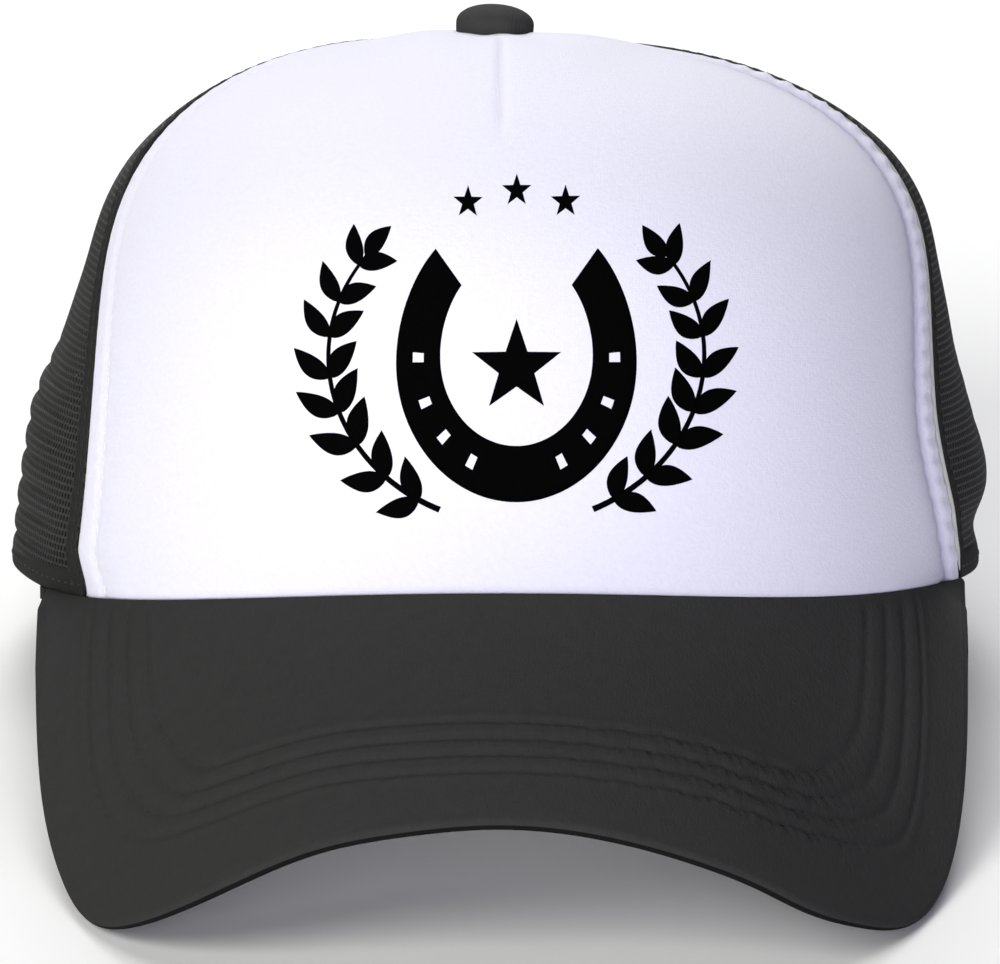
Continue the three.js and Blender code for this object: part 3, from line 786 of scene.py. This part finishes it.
def makeNet(name, startAt, endAt, solid, outside=None):
    n = netting
    pitch = n["pitch"]
    # A table from flat millimetres to azimuth: each row's azimuths at even shares of its length
    climbs = np.linspace(n["fromClimb"], crown["topHole"], n["tableRows"])
    shares = np.linspace(0, 1, n["tableColumns"] + 1)
    start, end = startAt(climbs)[:, None], endAt(climbs)[:, None]
    azimuths = start + (end - start) * shares
    points = crownPoint(azimuths, climbs[:, None])
    run = runLength(points, 1)
    width = run[:, -1]
    even = np.stack([np.interp(shares * w, r, a) for w, r, a in zip(width, run, azimuths)])
    up = runLength(points[:, n["tableColumns"] // 2])

    def place(s, t):
        # Azimuth and climb of a flat point, read from the table between its four neighbours
        t = np.clip(t, 0, up[-1])
        row = np.interp(t, up, np.arange(len(up)))
        share = np.clip(0.5 + s / np.interp(t, up, width), 0, 1) * n["tableColumns"]
        i = np.minimum(row.astype(int), len(up) - 2)
        j = np.minimum(share.astype(int), n["tableColumns"] - 1)
        fi, fj = row - i, share - j
        low = even[i, j] * (1 - fj) + even[i, j + 1] * fj
        high = even[i + 1, j] * (1 - fj) + even[i + 1, j + 1] * fj
        return low * (1 - fi) + high * fi, np.interp(t, up, climbs)

    # Cell centres on a staggered grid in whole numbers of half pitches, kept where they fall on the panel
    cell = np.array([pitch / 2, pitch / (2 * np.sqrt(3))])
    foot = [0, n["footSpace"] * pitch]
    rows = np.arange(int(up[-1] / (3 * cell[1])) + 1)
    cols = np.arange(-int(width.max() / pitch) - 1, int(width.max() / pitch) + 2)
    cy, cx = np.meshgrid(rows * 3, cols, indexing="ij")
    centres = np.stack([(cx * 2 + (rows % 2)[:, None]).ravel(), cy.ravel()], 1)
    s, t = (centres * cell + foot).T
    keep = np.abs(s) < np.interp(t, up, width) / 2 - n["edgeSpace"] * pitch
    if outside is not None:
        keep &= outside(*place(s, t))
    centres = centres[keep]
    ring = np.array([[1, 1], [0, 2], [-1, 1], [-1, -1], [0, -2], [1, -1]])
    keys = centres[:, None] + ring
    shared, ids = np.unique(keys.reshape(-1, 2), axis=0, return_inverse=True)
    ids = ids.reshape(-1, 6)
    rimFlat = (centres * cell + foot)[:, None] + ring * cell * n["hole"]
    # Yarn: shared corners have a front and a back point, each hole's rim lies between them
    flat = np.concatenate([np.tile(shared * cell + foot, (2, 1)), rimFlat.reshape(-1, 2)])
    azimuth, climb = place(*flat.T)
    count = len(shared)
    level = np.zeros(len(flat))
    level[:count], level[count: 2 * count] = -0.5, 0.5
    depth = n["depth"] + level * n["thickness"] + netDip(azimuth, climb) + topSink(azimuth, climb)
    points = floorClamp(crownAt(azimuth, climb, depth))
    rim = 2 * count + np.arange(ids.size).reshape(-1, 6)
    nextId, nextRim = np.roll(ids, -1, 1), np.roll(rim, -1, 1)
    front, back = quadsOf(ids, nextId, nextRim, rim), quadsOf(nextId + count, ids + count, rim, nextRim)
    # The lattice's own border is closed between its front and back points
    pairs = np.stack([ids.ravel(), nextId.ravel()], 1)
    _, first, times = np.unique(np.sort(pairs, 1), axis=0, return_index=True, return_counts=True)
    a, b = pairs[first[times == 1]].T
    faces = np.concatenate([front, back, quadsOf(a, a + count, b + count, b)])
    addPiece(makeMesh(name, points, [faces], flat), ["yarn"], [solid])
    return len(centres)


def offArch(azimuth, climb):
    # True outside the arch of the rear opening
    across = (180 - np.abs(azimuth)) / (opening["netAzimuth"] - netting["archSpace"])
    return across**2 + (climb / (opening["netClimb"] - netting["archSpace"])) ** 2 > 1


def makeNets():
    def leftSeamAt(climb):
        return -sideSeamAt(climb)

    cells = makeNet("sideNetRight", lambda c: frontSeamAt(1, c), sideSeamAt, "side_net_right")
    cells += makeNet("sideNetLeft", leftSeamAt, lambda c: frontSeamAt(-1, c), "side_net_left")
    cells += makeNet("backNetRight", sideSeamAt, lambda c: 0 * c + 180.0, "back_net_right", offArch)
    cells += makeNet("backNetLeft", lambda c: 0 * c - 180.0, leftSeamAt, "back_net_left", offArch)
    return cells


print("net cells:", makeNets())

# Seam tapes over the net's sewn edges, the rim's hem, and the cream edge beside the front panel
tapes = {
    "frontHalf": 2.3, "sideHalf": 1.9, "halfThickness": 0.5, "depth": 0.5, "lowClimb": 1.0, "gather": 0.05,
    "stitchShift": 0.55, "stitchSunk": 0.08, "topSunk": 0.12, "topSunkFrom": (48, 62), "steps": 150,
    "hemHalf": 2.5, "hemClimb": 1.15, "hemSteps": 220, "creamLow": 0.6, "creamRadius": {-1: 0.24, 1: 0.52},
    "creamDepth": {-1: 0.75, 1: 0.2}, "creamFades": (46, 70), "creamFade": 0.6,
}


def makeTapes():
    t = tapes
    top = crown["topHole"]
    tubes, rows, edges = [], [], []

    def tape(azimuthAt, low, half):
        climb = np.linspace(low, top, t["steps"])
        azimuth = azimuthAt(climb)
        depth = t["depth"] + 0.6 * netDip(azimuth, climb) + topSink(azimuth, climb)
        path, out = floorClamp(crownAt(azimuth, climb, depth)), crownOut(azimuth, climb)
        # A faint gathering along the tape, as its thread draws it in
        ripple = 1 + t["gather"] * np.sin(2 * np.pi * runLength(path) / stitchSizes["tape"][0])
        thick = np.stack([np.ones_like(ripple), ripple], -1)
        tubes.append((path, out, oval(half, t["halfThickness"], 14, 3.2) * thick[:, None]))
        across = np.cross(out, unit(np.gradient(path, axis=0)))
        # The stitches sink deeper near the top, where the tape's edge is seen against the light
        stand = t["halfThickness"] - t["stitchSunk"] - t["topSunk"] * ease(climb, *t["topSunkFrom"])
        for shift in (-t["stitchShift"], t["stitchShift"]):
            rows.append((path + across * half * shift + out * stand[:, None], out, "tape"))

    for side in (-1, 1):
        # The tape beside the front panel lies behind its seam, measured in degrees at each height
        def besideFront(c, side=side):
            wide = crownPoint(90, c)[..., 0]
            return frontSeamAt(side, c) + side * np.degrees((t["frontHalf"] + 0.2) / np.maximum(wide, 14))
        tape(besideFront, t["lowClimb"], t["frontHalf"])
        tape(lambda c, side=side: side * sideSeamAt(c), t["lowClimb"], t["sideHalf"])
    tape(lambda c: 0 * c + 180.0, opening["netClimb"] - 1, t["sideHalf"])
    # The hem runs along the rim from the front panel to the rear opening
    for side in (-1, 1):
        start = abs(frontSeamAt(side, t["hemClimb"])) + 0.3
        azimuth = np.linspace(start, 180 - opening["netAzimuth"] + 1, t["hemSteps"])[::side] * side
        path = floorClamp(crownAt(azimuth, t["hemClimb"], t["depth"] + 0.15))
        out = crownOut(azimuth, t["hemClimb"])
        tubes.append((path, out, oval(t["hemHalf"], t["halfThickness"] + 0.2, 16, 2.6)))
        up = np.cross(out, unit(np.gradient(path, axis=0)))
        rows.append((path - up * 0.3 + out * (t["halfThickness"] + 0.1), out, "hem"))
    addPiece(tubesMesh("seamTapes", tubes), ["tape"])
    climb = np.linspace(t["creamLow"], top, t["steps"])
    # The cream edge grows thin at its foot, and thin and hidden towards the top
    fade = t["creamFade"] * ease(climb, *t["creamFades"])
    for side in (-1, 1):
        azimuth = frontSeamAt(side, climb)
        path = crownAt(azimuth, climb, t["creamDepth"][side] + fade)
        radius = t["creamRadius"][side] * np.minimum(0.15 + runLength(path) / 4, 1 - fade)
        edges.append((path, crownOut(azimuth, climb), oval(1, 1, 10) * radius[:, None, None]))
    addPiece(tubesMesh("seamEdge", edges), ["piping"])
    return rows


threadRows = makeTapes()
print("seam tapes made")

# Peak: cloth over a stiff board, quilted by four rows of stitching that follow its edge
peak = {
    "length": 65.5, "halfWidth": 83.3, "widestForward": 49.9, "squareness": 2.84, "slope": 27.3,
    "innerRise": 7, "archRadius": 122.7, "archCone": 0.726, "coneFrom": 60, "thickness": 2.5, "tab": 2.8,
    "tabDrop": 0.35, "endAzimuth": 72, "endWidth": {-1: -0.9, 1: 0.6}, "tailWidth": {-1: 82.8, 1: 83.3},
    "columns": 320, "rows": 118, "edgeRows": 7, "edgeBand": 1.3, "paintedShadeRows": 1,
    "stitchRows": (14.0, 18.8, 23.4, 28.2), "squeeze": 0.1, "squeezeAt": (58, 76), "threadSunk": 0.16,
    "grooveDepth": 0.72, "grooveWidth": 0.85, "grooveFade": 0.35, "fadeAt": (62, 85), "quilt": 0.3,
    # Puckers across the rows, mostly right of the middle: size, then where they rise and fall by x
    "puckerPitch": 2.9, "puckerDepth": 0.34, "puckerRises": (-5, 42), "puckerFalls": (52, 68),
    "puckerLeast": 0.12, "puckerIn": 1.4, "puckerWidth": 1.7, "wobble": 0.35, "wobblePitch": 9.7,
    "uneven": 0.18,
    # The outer edge's small departures from its superellipse: how far forward, middle and width of each
    "swells": ((-1.7, -33, 15), (-2.4, -79.5, 5), (1.2, 54, 8)), "swellsFrom": (60, 80),
    # The rows don't quite follow the edge: how much farther in they run, by the way from its middle
    "shiftAlong": (0, 20, 35, 50, 62, 70, 76, 82, 87, 92, 98, 108, 125, 145),
    "shift": (0, 1.2, 3.1, 4.5, 5.2, 4.7, 3.4, 1.5, -0.5, -2.2, -3.4, -3.9, -4.4, -4.6),
    "sideIn": {"left": 1.0, "right": -0.5}, "sideInAt": (76, 92), "softness": 1.7, "softFrom": (6, 11),
    "shiftFrom": (3, 12), "quiltMargin": 4, "flatAtEdge": (0.8, 3.5), "flatAtRim": (0.2, 4.5),
}


def archDrop(x, forward):
    # The drop of an arc that tightens towards the outer edge
    k = (1 + peak["archCone"] * (forward - peak["coneFrom"]) / 100) / peak["archRadius"]
    return (1 - np.sqrt(np.maximum(1 - (k * x) ** 2, 0))) / k


def peakHeight(x, forward):
    slope = np.tan(np.radians(peak["slope"]))
    return peak["innerRise"] - (forward - crown["frontReach"]) * slope - archDrop(x, forward)


def peakEdge(side, shares):
    # Half of the outer edge: a superellipse quarter, then a short curve back to the rim
    p = peak
    widest = p["widestForward"]
    reach = crown["frontReach"] + p["length"] * np.cos(np.radians(p["slope"])) - widest
    a = np.linspace(0, np.pi / 2, 700)
    bend = 2 / p["squareness"]
    line = np.stack([p["halfWidth"] * np.sin(a) ** bend, widest + reach * np.cos(a) ** bend], 1)
    line[-1, 1] = widest
    rim = crownPoint(side * p["endAzimuth"], 0.0)
    end = np.array([side * rim[0] + p["endWidth"][side], -rim[1]])
    corner = np.array([p["tailWidth"][side], (widest + end[1]) / 2])
    t = np.linspace(0, 1, 120)[1:, None]
    line = np.concatenate([line, line[-1] * (1 - t) ** 2 + corner * 2 * t * (1 - t) + end * t**2])
    run = runLength(line)
    x, f = (np.interp(shares * run[-1], run, line[:, i]) for i in range(2))
    swell = sum(forward * bell(side * x, middle, width) for forward, middle, width in p["swells"])
    f = f + swell * ease(f, *p["swellsFrom"])
    back = np.clip((widest - f) / (widest - end[1]), 0, 1)
    endHeight = rimHeight(side * p["endAzimuth"]) - crown["seamGap"]
    z = peakHeight(x, np.maximum(f, widest)) * (1 - back) + endHeight * back
    return np.stack([side * x, -f, z], 1)


def peakGrid(rim, edge):
    # Rows of points from the tab under the panel, over the top, to the rolled outer edge
    p = peak
    length = np.linalg.norm(edge - rim, axis=1)
    turn = np.radians(np.linspace(0, 90, p["edgeRows"]))
    fine = p["edgeBand"] * (1 - np.cos(turn))[:, None] * np.minimum(1, length / 4)
    share = np.linspace(0, 1, p["rows"])[1:, None]
    fromEdge = np.concatenate([fine, fine[-1:] + (length - fine[-1:]) * share])[::-1]
    v = 1 - fromEdge / length
    top = rim * (1 - v[..., None]) + edge * v[..., None]
    inward = unit(atHeight(-rim, 0.0))
    tab = rim + inward * np.array([p["tab"], p["tab"] / 2])[:, None, None]
    tab[..., 2] -= np.array([p["tabDrop"], p["tabDrop"] / 2])[:, None]
    return np.concatenate([tab, top]), np.concatenate([np.zeros((2, len(rim))), v * length]), length


def peakUp(grid, length):
    # The top's normal. Beside the crown it never leans inwards, so that the underside stays behind the top,
    # and towards the two tips it turns upright
    up = unit(np.cross(np.gradient(grid, axis=0), -np.gradient(grid, axis=1)))
    up = np.where(up[..., 2:] < 0, -up, up)
    up[..., 0] = np.where(up[..., 0] * grid[..., 0] < 0, 0, up[..., 0])
    up = unit(up)
    up[:2] = up[2]
    steady = ease(length, 3, 16)[None, :, None]
    return unit(up * steady + np.array([0, 0, 1]) * (1 - steady))


def peakAway(grid, edge, spacing):
    # Distance to the outer edge: the straight one, and a softened one whose rows turn the corners in a round
    beyond = np.arange(1, 31)[:, None]
    before, after = edge[0] + (edge[0] - edge[1]) * beyond[::-1], edge[-1] + (edge[-1] - edge[-2]) * beyond
    away = np.linalg.norm(grid[:, :, None] - edge[[0, -1]], axis=-1).min(-1)
    soft = np.zeros_like(away)
    for part in np.array_split(np.concatenate([before, edge, after]), 20):
        apart = np.linalg.norm(grid[:, :, None] - part, axis=-1)
        away = np.minimum(away, apart.min(-1))
        soft += np.exp(-apart / peak["softness"]).sum(-1)
    spread = np.sqrt(2 * np.pi * np.maximum(away, 1) * peak["softness"]) / spacing
    return away, -peak["softness"] * np.log(soft / spread)


def makePeak():
    p = peak
    half = p["columns"] // 2
    shares = np.linspace(0, 1, half + 1)
    edge = np.concatenate([peakEdge(-1, shares)[:0:-1], peakEdge(1, shares)])
    azimuth = np.linspace(-1, 1, p["columns"] + 1) * p["endAzimuth"]
    rim = atHeight(crownPoint(azimuth, 0.0), rimHeight(azimuth) - crown["seamGap"])
    grid, fromRim, length = peakGrid(rim, edge)
    up = peakUp(grid, length)
    run = runLength(edge)
    away, soft = peakAway(grid, edge, run[-1] / p["columns"])
    fromMiddle = np.abs(run - run[half])
    sideIn = np.where(run < run[half], p["sideIn"]["left"], p["sideIn"]["right"])
    shift = np.interp(fromMiddle, p["shiftAlong"], p["shift"]) + sideIn * ease(fromMiddle, *p["sideInAt"])
    shift = np.convolve(np.pad(shift, 6, "edge"), np.full(13, 1 / 13), "valid")
    inset = away + (soft - away) * ease(away, *p["softFrom"]) - shift * ease(away, *p["shiftFrom"])
    first, last = p["stitchRows"][0], p["stitchRows"][-1]
    # The rows sit a little closer together beside the crown than in front
    closer = 1 - p["squeeze"] * ease(fromMiddle, *p["squeezeAt"])
    inset = np.where(inset > first, first + (inset - first) / closer, inset)
    x = grid[..., 0]
    puckered = plateau(x, p["puckerRises"], p["puckerFalls"]) + p["puckerLeast"]
    grooveDepth = p["grooveDepth"] * (1 - p["grooveFade"] * ease(fromMiddle, *p["fadeAt"]))
    relief = np.zeros_like(away)
    for i, d in enumerate(p["stitchRows"]):
        wobble = p["wobble"] * puckered * np.sin(2 * np.pi * run / p["wobblePitch"] + 1.7 * i)
        relief -= grooveDepth * bell(inset, d + wobble, p["grooveWidth"])
        phase = 1.9 * i + 1.1 * waviness(x, inset, 19, i)
        pucker = np.sin(2 * np.pi * run / p["puckerPitch"] + phase)
        relief += p["puckerDepth"] * puckered * pucker * bell(inset, d - p["puckerIn"], p["puckerWidth"])
    quilted = plateau(inset, (first - p["quiltMargin"], first), (last, last + p["quiltMargin"]))
    relief += p["quilt"] * quilted + p["uneven"] * waviness(x, grid[..., 1], 37, 3)
    # It flattens at the outer edge and where the front panel sits on it
    relief *= ease(away, *p["flatAtEdge"]) * ease(fromRim, *p["flatAtRim"])
    relief[:2] = 0
    roll = rolled(away, p["thickness"] / 2)
    face = grid + up * (relief - roll)[..., None]
    back = grid - up * (p["thickness"] - roll)[..., None]
    # The wall's face looks along columns crossed with rows, which here is down
    mesh, isTop = wallMesh("peakCloth", back, face, np.stack([x, -grid[..., 1]], -1))
    addPiece(mesh, ["underside", "twill"], ["peak"])
    # The top's last rows roll under the edge and take the underside's black cloth, which there also paints
    # the shade of the edge's lower half. The two end walls take the top's
    cells = (len(face) - 1) * p["columns"]
    isTop[2 * cells - p["paintedShadeRows"] * p["columns"]: 2 * cells] = 0
    isTop[-2 * (len(face) - 1):] = 1
    mesh.polygons.foreach_set("material_index", isTop)
    # A stitch row lies where the inset passes its value, between two rows of the grid
    for d in p["stitchRows"]:
        below = inset[2:] < d
        c = np.flatnonzero(~below[0] & below[-1])
        k = np.argmax(below, axis=0)[c] + 2
        before, after = inset[k - 1, c], inset[k, c]
        mix = ((before - d) / (before - after))[:, None]
        line = face[k - 1, c] * (1 - mix) + face[k, c] * mix
        threadRows.append((line - up[k, c] * p["threadSunk"], up[k, c], "peak"))


makePeak()
print("peak made")

# Binding of the rear opening: a folded tape with a stitch row near each edge
binding = {
    "outer": -0.1, "inner": 1.5, "overlap": 1.2, "columns": 170, "rows": 15, "roll": 0.75, "stitchIn": 2,
    "pucker": 0.1, "groove": 0.16,
}


def makeBinding():
    b = binding
    v = np.linspace(0, 1, b["rows"])[:, None]
    turn = np.radians(180 * np.linspace(0, 1, b["columns"]))[None]
    wide = opening["edgeAzimuth"] + (opening["netAzimuth"] + b["overlap"] - opening["edgeAzimuth"]) * v
    tall = opening["edgeClimb"] + (opening["netClimb"] + b["overlap"] - opening["edgeClimb"]) * v
    azimuth, climb = 180 - wide * np.cos(turn), tall * np.sin(turn)
    bare = crownPoint(azimuth, climb)
    across, along = runLength(bare, 0), runLength(bare, 1)
    away = np.minimum(across, across[-1:] - across)
    roll = rolled(away, b["roll"])
    pucker = b["pucker"] * np.sin(2 * np.pi * along / stitchSizes["binding"][0]) * bell(away, 1.8, 1.4)
    pucker = pucker + b["groove"] * bell(away, 1.5, 0.45)
    face = floorClamp(crownAt(azimuth, climb, b["outer"] + roll + pucker))
    back = floorClamp(crownAt(azimuth, climb, b["inner"] - roll))
    mesh, _ = wallMesh("openingBinding", face, back, np.stack([along, across], -1))
    addPiece(mesh, ["tape"], ["opening_binding"])
    for k in (b["stitchIn"], b["rows"] - 1 - b["stitchIn"]):
        threadRows.append((face[k], crownOut(azimuth[k], climb[k]), "binding"))


makeBinding()

# Sweatband: a soft band inside the rim, stitched near its lower edge
sweatband = {
    "low": 0.6, "high": 19.5, "endAzimuth": 152, "outer": 3.5, "inner": 4.7, "columns": 360, "rows": 26,
    "roll": 0.55, "slack": 0.12, "stitchAt": 3, "groove": 0.14,
}


def makeSweatband():
    s = sweatband
    azimuth = np.linspace(-s["endAzimuth"], s["endAzimuth"], s["columns"])[None]
    azimuth, climb = np.broadcast_arrays(azimuth, np.linspace(s["low"], s["high"], s["rows"])[:, None])
    bare = crownPoint(azimuth, climb)
    across, along = runLength(bare, 0), runLength(bare, 1)
    roll = rolled(np.minimum(across, across[-1:] - across), s["roll"])
    slack = s["slack"] * waviness(along, across, 21, 1) + s["groove"] * bell(across, s["stitchAt"], 0.5)
    face = crownAt(azimuth, climb, s["outer"] + roll)
    back = crownAt(azimuth, climb, s["inner"] - roll - slack)
    mesh, _ = wallMesh("sweatbandCloth", face, back, np.stack([along, across], -1))
    addPiece(mesh, ["band"], ["sweatband"])
    k = int(np.argmin(np.abs(across[:, 0] - s["stitchAt"])))
    threadRows.append((back[k], -crownOut(azimuth[k], climb[k]), "sweatband"))


makeSweatband()
print("binding and sweatband made")
makeButton()

# Snap strap: two moulded strips, five pegs on the inner one and six holes in the outer one
strap = {
    "low": 3.2, "high": 22.7, "endAzimuth": 35, "thickness": 1.1, "innerDepth": 1.95, "outerDepth": 0.8,
    "outerInset": 1.5, "lapEnds": (32, 38), "holes": range(-3, 3), "pegs": range(-1, 4), "edgeRound": 0.18,
    "holeRadius": 1.95, "pinHole": 0.05, "height": 12, "pitch": 9, "endPower": 5, "endSteps": 16,
    # A peg's rings: its height and radius, as shares
    "pegRadius": 1.75, "pegStand": 0.91, "pegRoot": 0.2, "pegSides": 28,
    "pegRises": (0, 0.55, 0.7, 0.86, 0.96, 1), "pegReach": (1, 1, 1.06, 1.0, 0.8, 0.45),
}


def strapPoint(azimuth, height, depth):
    # A point at that height and depth, on a strap that runs level
    climb = np.degrees(np.arctan2(height, crown["height"]))
    return atHeight(crownAt(azimuth, climb, depth), height)


def strapAzimuth(x):
    return 180 - np.degrees(np.arcsin(np.clip(x / crown["halfWidth"], -0.99, 0.99)))


def strapTile(x, low, high, holeRadius, endRound):
    # A tile of strip round one hole: rings from the hole's circle out to the tile's edge
    middle, halfPitch = strap["height"], strap["pitch"] / 2
    top, bottom = high - middle, middle - low
    corners = [np.arctan2(y, x) % (2 * np.pi) for x in (halfPitch, -halfPitch) for y in (top, -bottom)]
    a = np.unique(np.concatenate([np.linspace(0, 2 * np.pi, 49), corners]))
    across, up = np.cos(a) / halfPitch, np.sin(a) / np.where(np.sin(a) > 0, top, bottom)
    reach = 1 / np.maximum(np.abs(across), np.abs(up))
    if endRound:
        power = strap["endPower"]
        rounded = (np.abs(across) ** power + np.abs(up) ** power) ** (-1 / power)
        reach = np.where(np.cos(a) * endRound > 0, rounded, reach)
    share = np.array([0, 0.06, 0.3, 0.62, 0.9, 1])[:, None]
    r = holeRadius + (reach - holeRadius) * share
    return np.stack([x + r * np.cos(a), middle + r * np.sin(a)], -1)


def makeStrap():
    s = strap
    points, faces, flats = [], [], []

    def outerDepth(x):
        # The outer strip sinks to the inner one's depth past the end of the lap
        return s["outerDepth"] + (s["innerDepth"] - s["outerDepth"]) * ease(-x, *s["lapEnds"])

    def innerDepth(x):
        return s["innerDepth"]

    def addTile(grid, depthAt):
        # An outer and an inner layer, closed along the grid's first and last rows
        azimuth = strapAzimuth(grid[..., 0])
        edgeRound = np.zeros(grid.shape[:2])
        edgeRound[0] = s["edgeRound"]
        near, far = (depthAt(grid[..., 0]) + d for d in (edgeRound, s["thickness"] - edgeRound))
        base = sum(len(p) for p in points)
        f, b = np.arange(grid.size).reshape(2, *grid.shape[:2]) + base
        faces.append(np.concatenate([
            quadsOf(f[:-1, 1:], f[1:, 1:], f[1:, :-1], f[:-1, :-1]),
            quadsOf(b[1:, :-1], b[1:, 1:], b[:-1, 1:], b[:-1, :-1]),
            quadsOf(b[0, :-1], b[0, 1:], f[0, 1:], f[0, :-1]),
            quadsOf(f[-1, 1:], b[-1, 1:], b[-1, :-1], f[-1, :-1]),
        ]))
        points.extend(strapPoint(azimuth, grid[..., 1], depth).reshape(-1, 3) for depth in (near, far))
        flats.append(np.tile(grid.reshape(-1, 2), (2, 1)))

    outer = (s["low"] + s["outerInset"], s["high"] - s["outerInset"])
    inner = (s["low"], s["high"])
    # Each strip's free end is rounded, and the inner strip closes to a pinhole under each peg
    for i in s["holes"]:
        addTile(strapTile(i * s["pitch"], *outer, s["holeRadius"], int(i == s["holes"][-1])), outerDepth)
    for i in s["pegs"]:
        addTile(strapTile(i * s["pitch"], *inner, s["pinHole"], -int(i == s["pegs"][0])), innerDepth)
    # The plain ends that run on under the binding
    end, tilesEnd = crown["halfWidth"] * np.sin(np.radians(s["endAzimuth"])), 3.5 * s["pitch"]
    share = np.linspace(0, 1, 9)[:, None]
    for start, stop, depthAt, (low, high) in (
        (-end, -tilesEnd, outerDepth, outer), (tilesEnd, end, innerDepth, inner),
    ):
        x = np.linspace(start, stop, s["endSteps"])[None]
        addTile(np.stack(np.broadcast_arrays(x, low + (high - low) * share), -1), depthAt)
    # Pegs: short posts with a rounded head
    a = fullTurn(s["pegSides"])[:, None]
    fans = []
    height = s["innerDepth"] - s["outerDepth"] + s["pegRoot"] + s["pegStand"]
    rise, reach = (np.array(s[k])[:, None, None] for k in ("pegRises", "pegReach"))
    for i in s["pegs"]:
        azimuth = strapAzimuth(i * s["pitch"])
        root = strapPoint(azimuth, s["height"], s["innerDepth"] + s["pegRoot"])
        out = crownOut(azimuth, np.degrees(np.arctan2(s["height"], crown["height"])))
        side = unit(np.cross(out, [0, 0, 1]))
        ring = np.cos(a) * side + np.sin(a) * np.cross(side, out)
        body = (root + out * rise * height + ring * reach * s["pegRadius"]).reshape(-1, 3)
        ids = np.arange(len(body)).reshape(-1, s["pegSides"]) + sum(len(p) for p in points)
        points.append(np.concatenate([body, [root + out * height]]))
        flats.append(np.zeros((len(body) + 1, 2)))
        faces.append(ringQuads(ids))
        fans.append(fanOf(ids[-1], ids[-1, -1] + 1))
    mesh = makeMesh("snapStrap", np.concatenate(points), joinFaces(*faces, *fans), np.concatenate(flats))
    addPiece(mesh, ["plastic"], ["snap_strap"], sharp=35)


makeStrap()
print("button and strap made")

# Thread: charcoal stitches in every row, white ones on the front panel
addPiece(stitchMesh("stitches", threadRows), ["thread"])
addPiece(stitchMesh("panelStitches", panelStitchLines), ["whiteThread"])
print("stitches made")

# Floor, light and camera
studio = {
    "floorSize": 6.0, "floorShade": grey(0.96), "worldShade": grey(1.0), "worldStrength": 0.01,
    "lampAim": (0, 0, 0.05),
    # Each lamp: place, width, watts, colour
    "lamps": {
        "key": ((-0.84, -1.13, 1.0), 0.8, 16.6, (1.0, 1.0, 0.93)),
        "front": ((-0.1, -1.6, 0.45), 0.8, 12.8, (0.97, 0.96, 0.99)),
        "fill": ((0.7, -1.4, 0.3), 0.8, 2.5, (0.4, 0.4, 1.0)),
        "top": ((0.0, 0.2, 1.6), 1.2, 8, grey(1.0)),
        "back": ((0.0, 1.4, 0.9), 1.0, 21, grey(1.0)),
    },
    "target": (-0.52, 0, 15.83), "elevation": 7.28, "yaw": -0.15, "roll": 0.02, "distance": 2000,
    "lens": 392.4,
}


def makeFloor():
    s = studio["floorSize"] / 2
    mesh = bpy.data.meshes.new("floor")
    mesh.from_pydata([(-s, -s, 0), (s, -s, 0), (s, s, 0), (-s, s, 0)], [], [(0, 1, 2, 3)])
    finish, tree, shader = newFinish("pale floor", studio["floorShade"], 0.9, 0.1)
    spots = node(tree, "ShaderNodeTexCoord").outputs["Object"]
    tint(tree, shader, noiseOf(tree, spots, 3, 2), (0.92, 0.92, 0.93), studio["floorShade"])
    mesh.materials.append(finish)
    addObject("floor", mesh)


def addLamp(name, place, size, power, colour):
    lamp = bpy.data.lights.new(name, "AREA")
    lamp.shape = "DISK"
    lamp.size = size
    lamp.energy = power
    lamp.color = colour
    spot = addObject(name, lamp)
    spot.location = place
    aim = Vector(studio["lampAim"]) - Vector(place)
    spot.rotation_euler = aim.to_track_quat("-Z", "Y").to_euler()


def makeCamera():
    # The photo's view: fitted with the rim level, then turned with the hat onto the floor
    s = studio
    e, yaw, roll = (np.radians(s[k]) for k in ("elevation", "yaw", "roll"))
    ahead = np.array([np.sin(yaw) * np.cos(e), np.cos(yaw) * np.cos(e), -np.sin(e)])
    right = np.array([np.cos(yaw), -np.sin(yaw), 0])
    up = np.cross(right, ahead)
    right, up = right * np.cos(roll) + up * np.sin(roll), up * np.cos(roll) - right * np.sin(roll)
    columns = [unit(toRow(v) - toRow(np.zeros(3))) for v in (right, up, -ahead)]
    columns.append(toRow(np.array(s["target"]) - ahead * s["distance"]))
    camera = bpy.data.cameras.new("camera")
    camera.lens = s["lens"]
    camera.sensor_width = 36
    camera.clip_start, camera.clip_end = 0.05, 20
    made = addObject("camera", camera)
    made.matrix_world = Matrix([*np.stack(columns, 1).tolist(), [0, 0, 0, 1]])
    bpy.context.scene.camera = made


makeFloor()
for name, lamp in studio["lamps"].items():
    addLamp(name, *lamp)
world = bpy.context.scene.world or bpy.data.worlds.new("studio")
bpy.context.scene.world = world
world.use_nodes = True
background = world.node_tree.nodes["Background"]
background.inputs["Color"].default_value = (*studio["worldShade"], 1)
background.inputs["Strength"].default_value = studio["worldStrength"]
makeCamera()
bpy.context.scene.view_settings.view_transform = "Standard"
print("stage, lights and camera made")
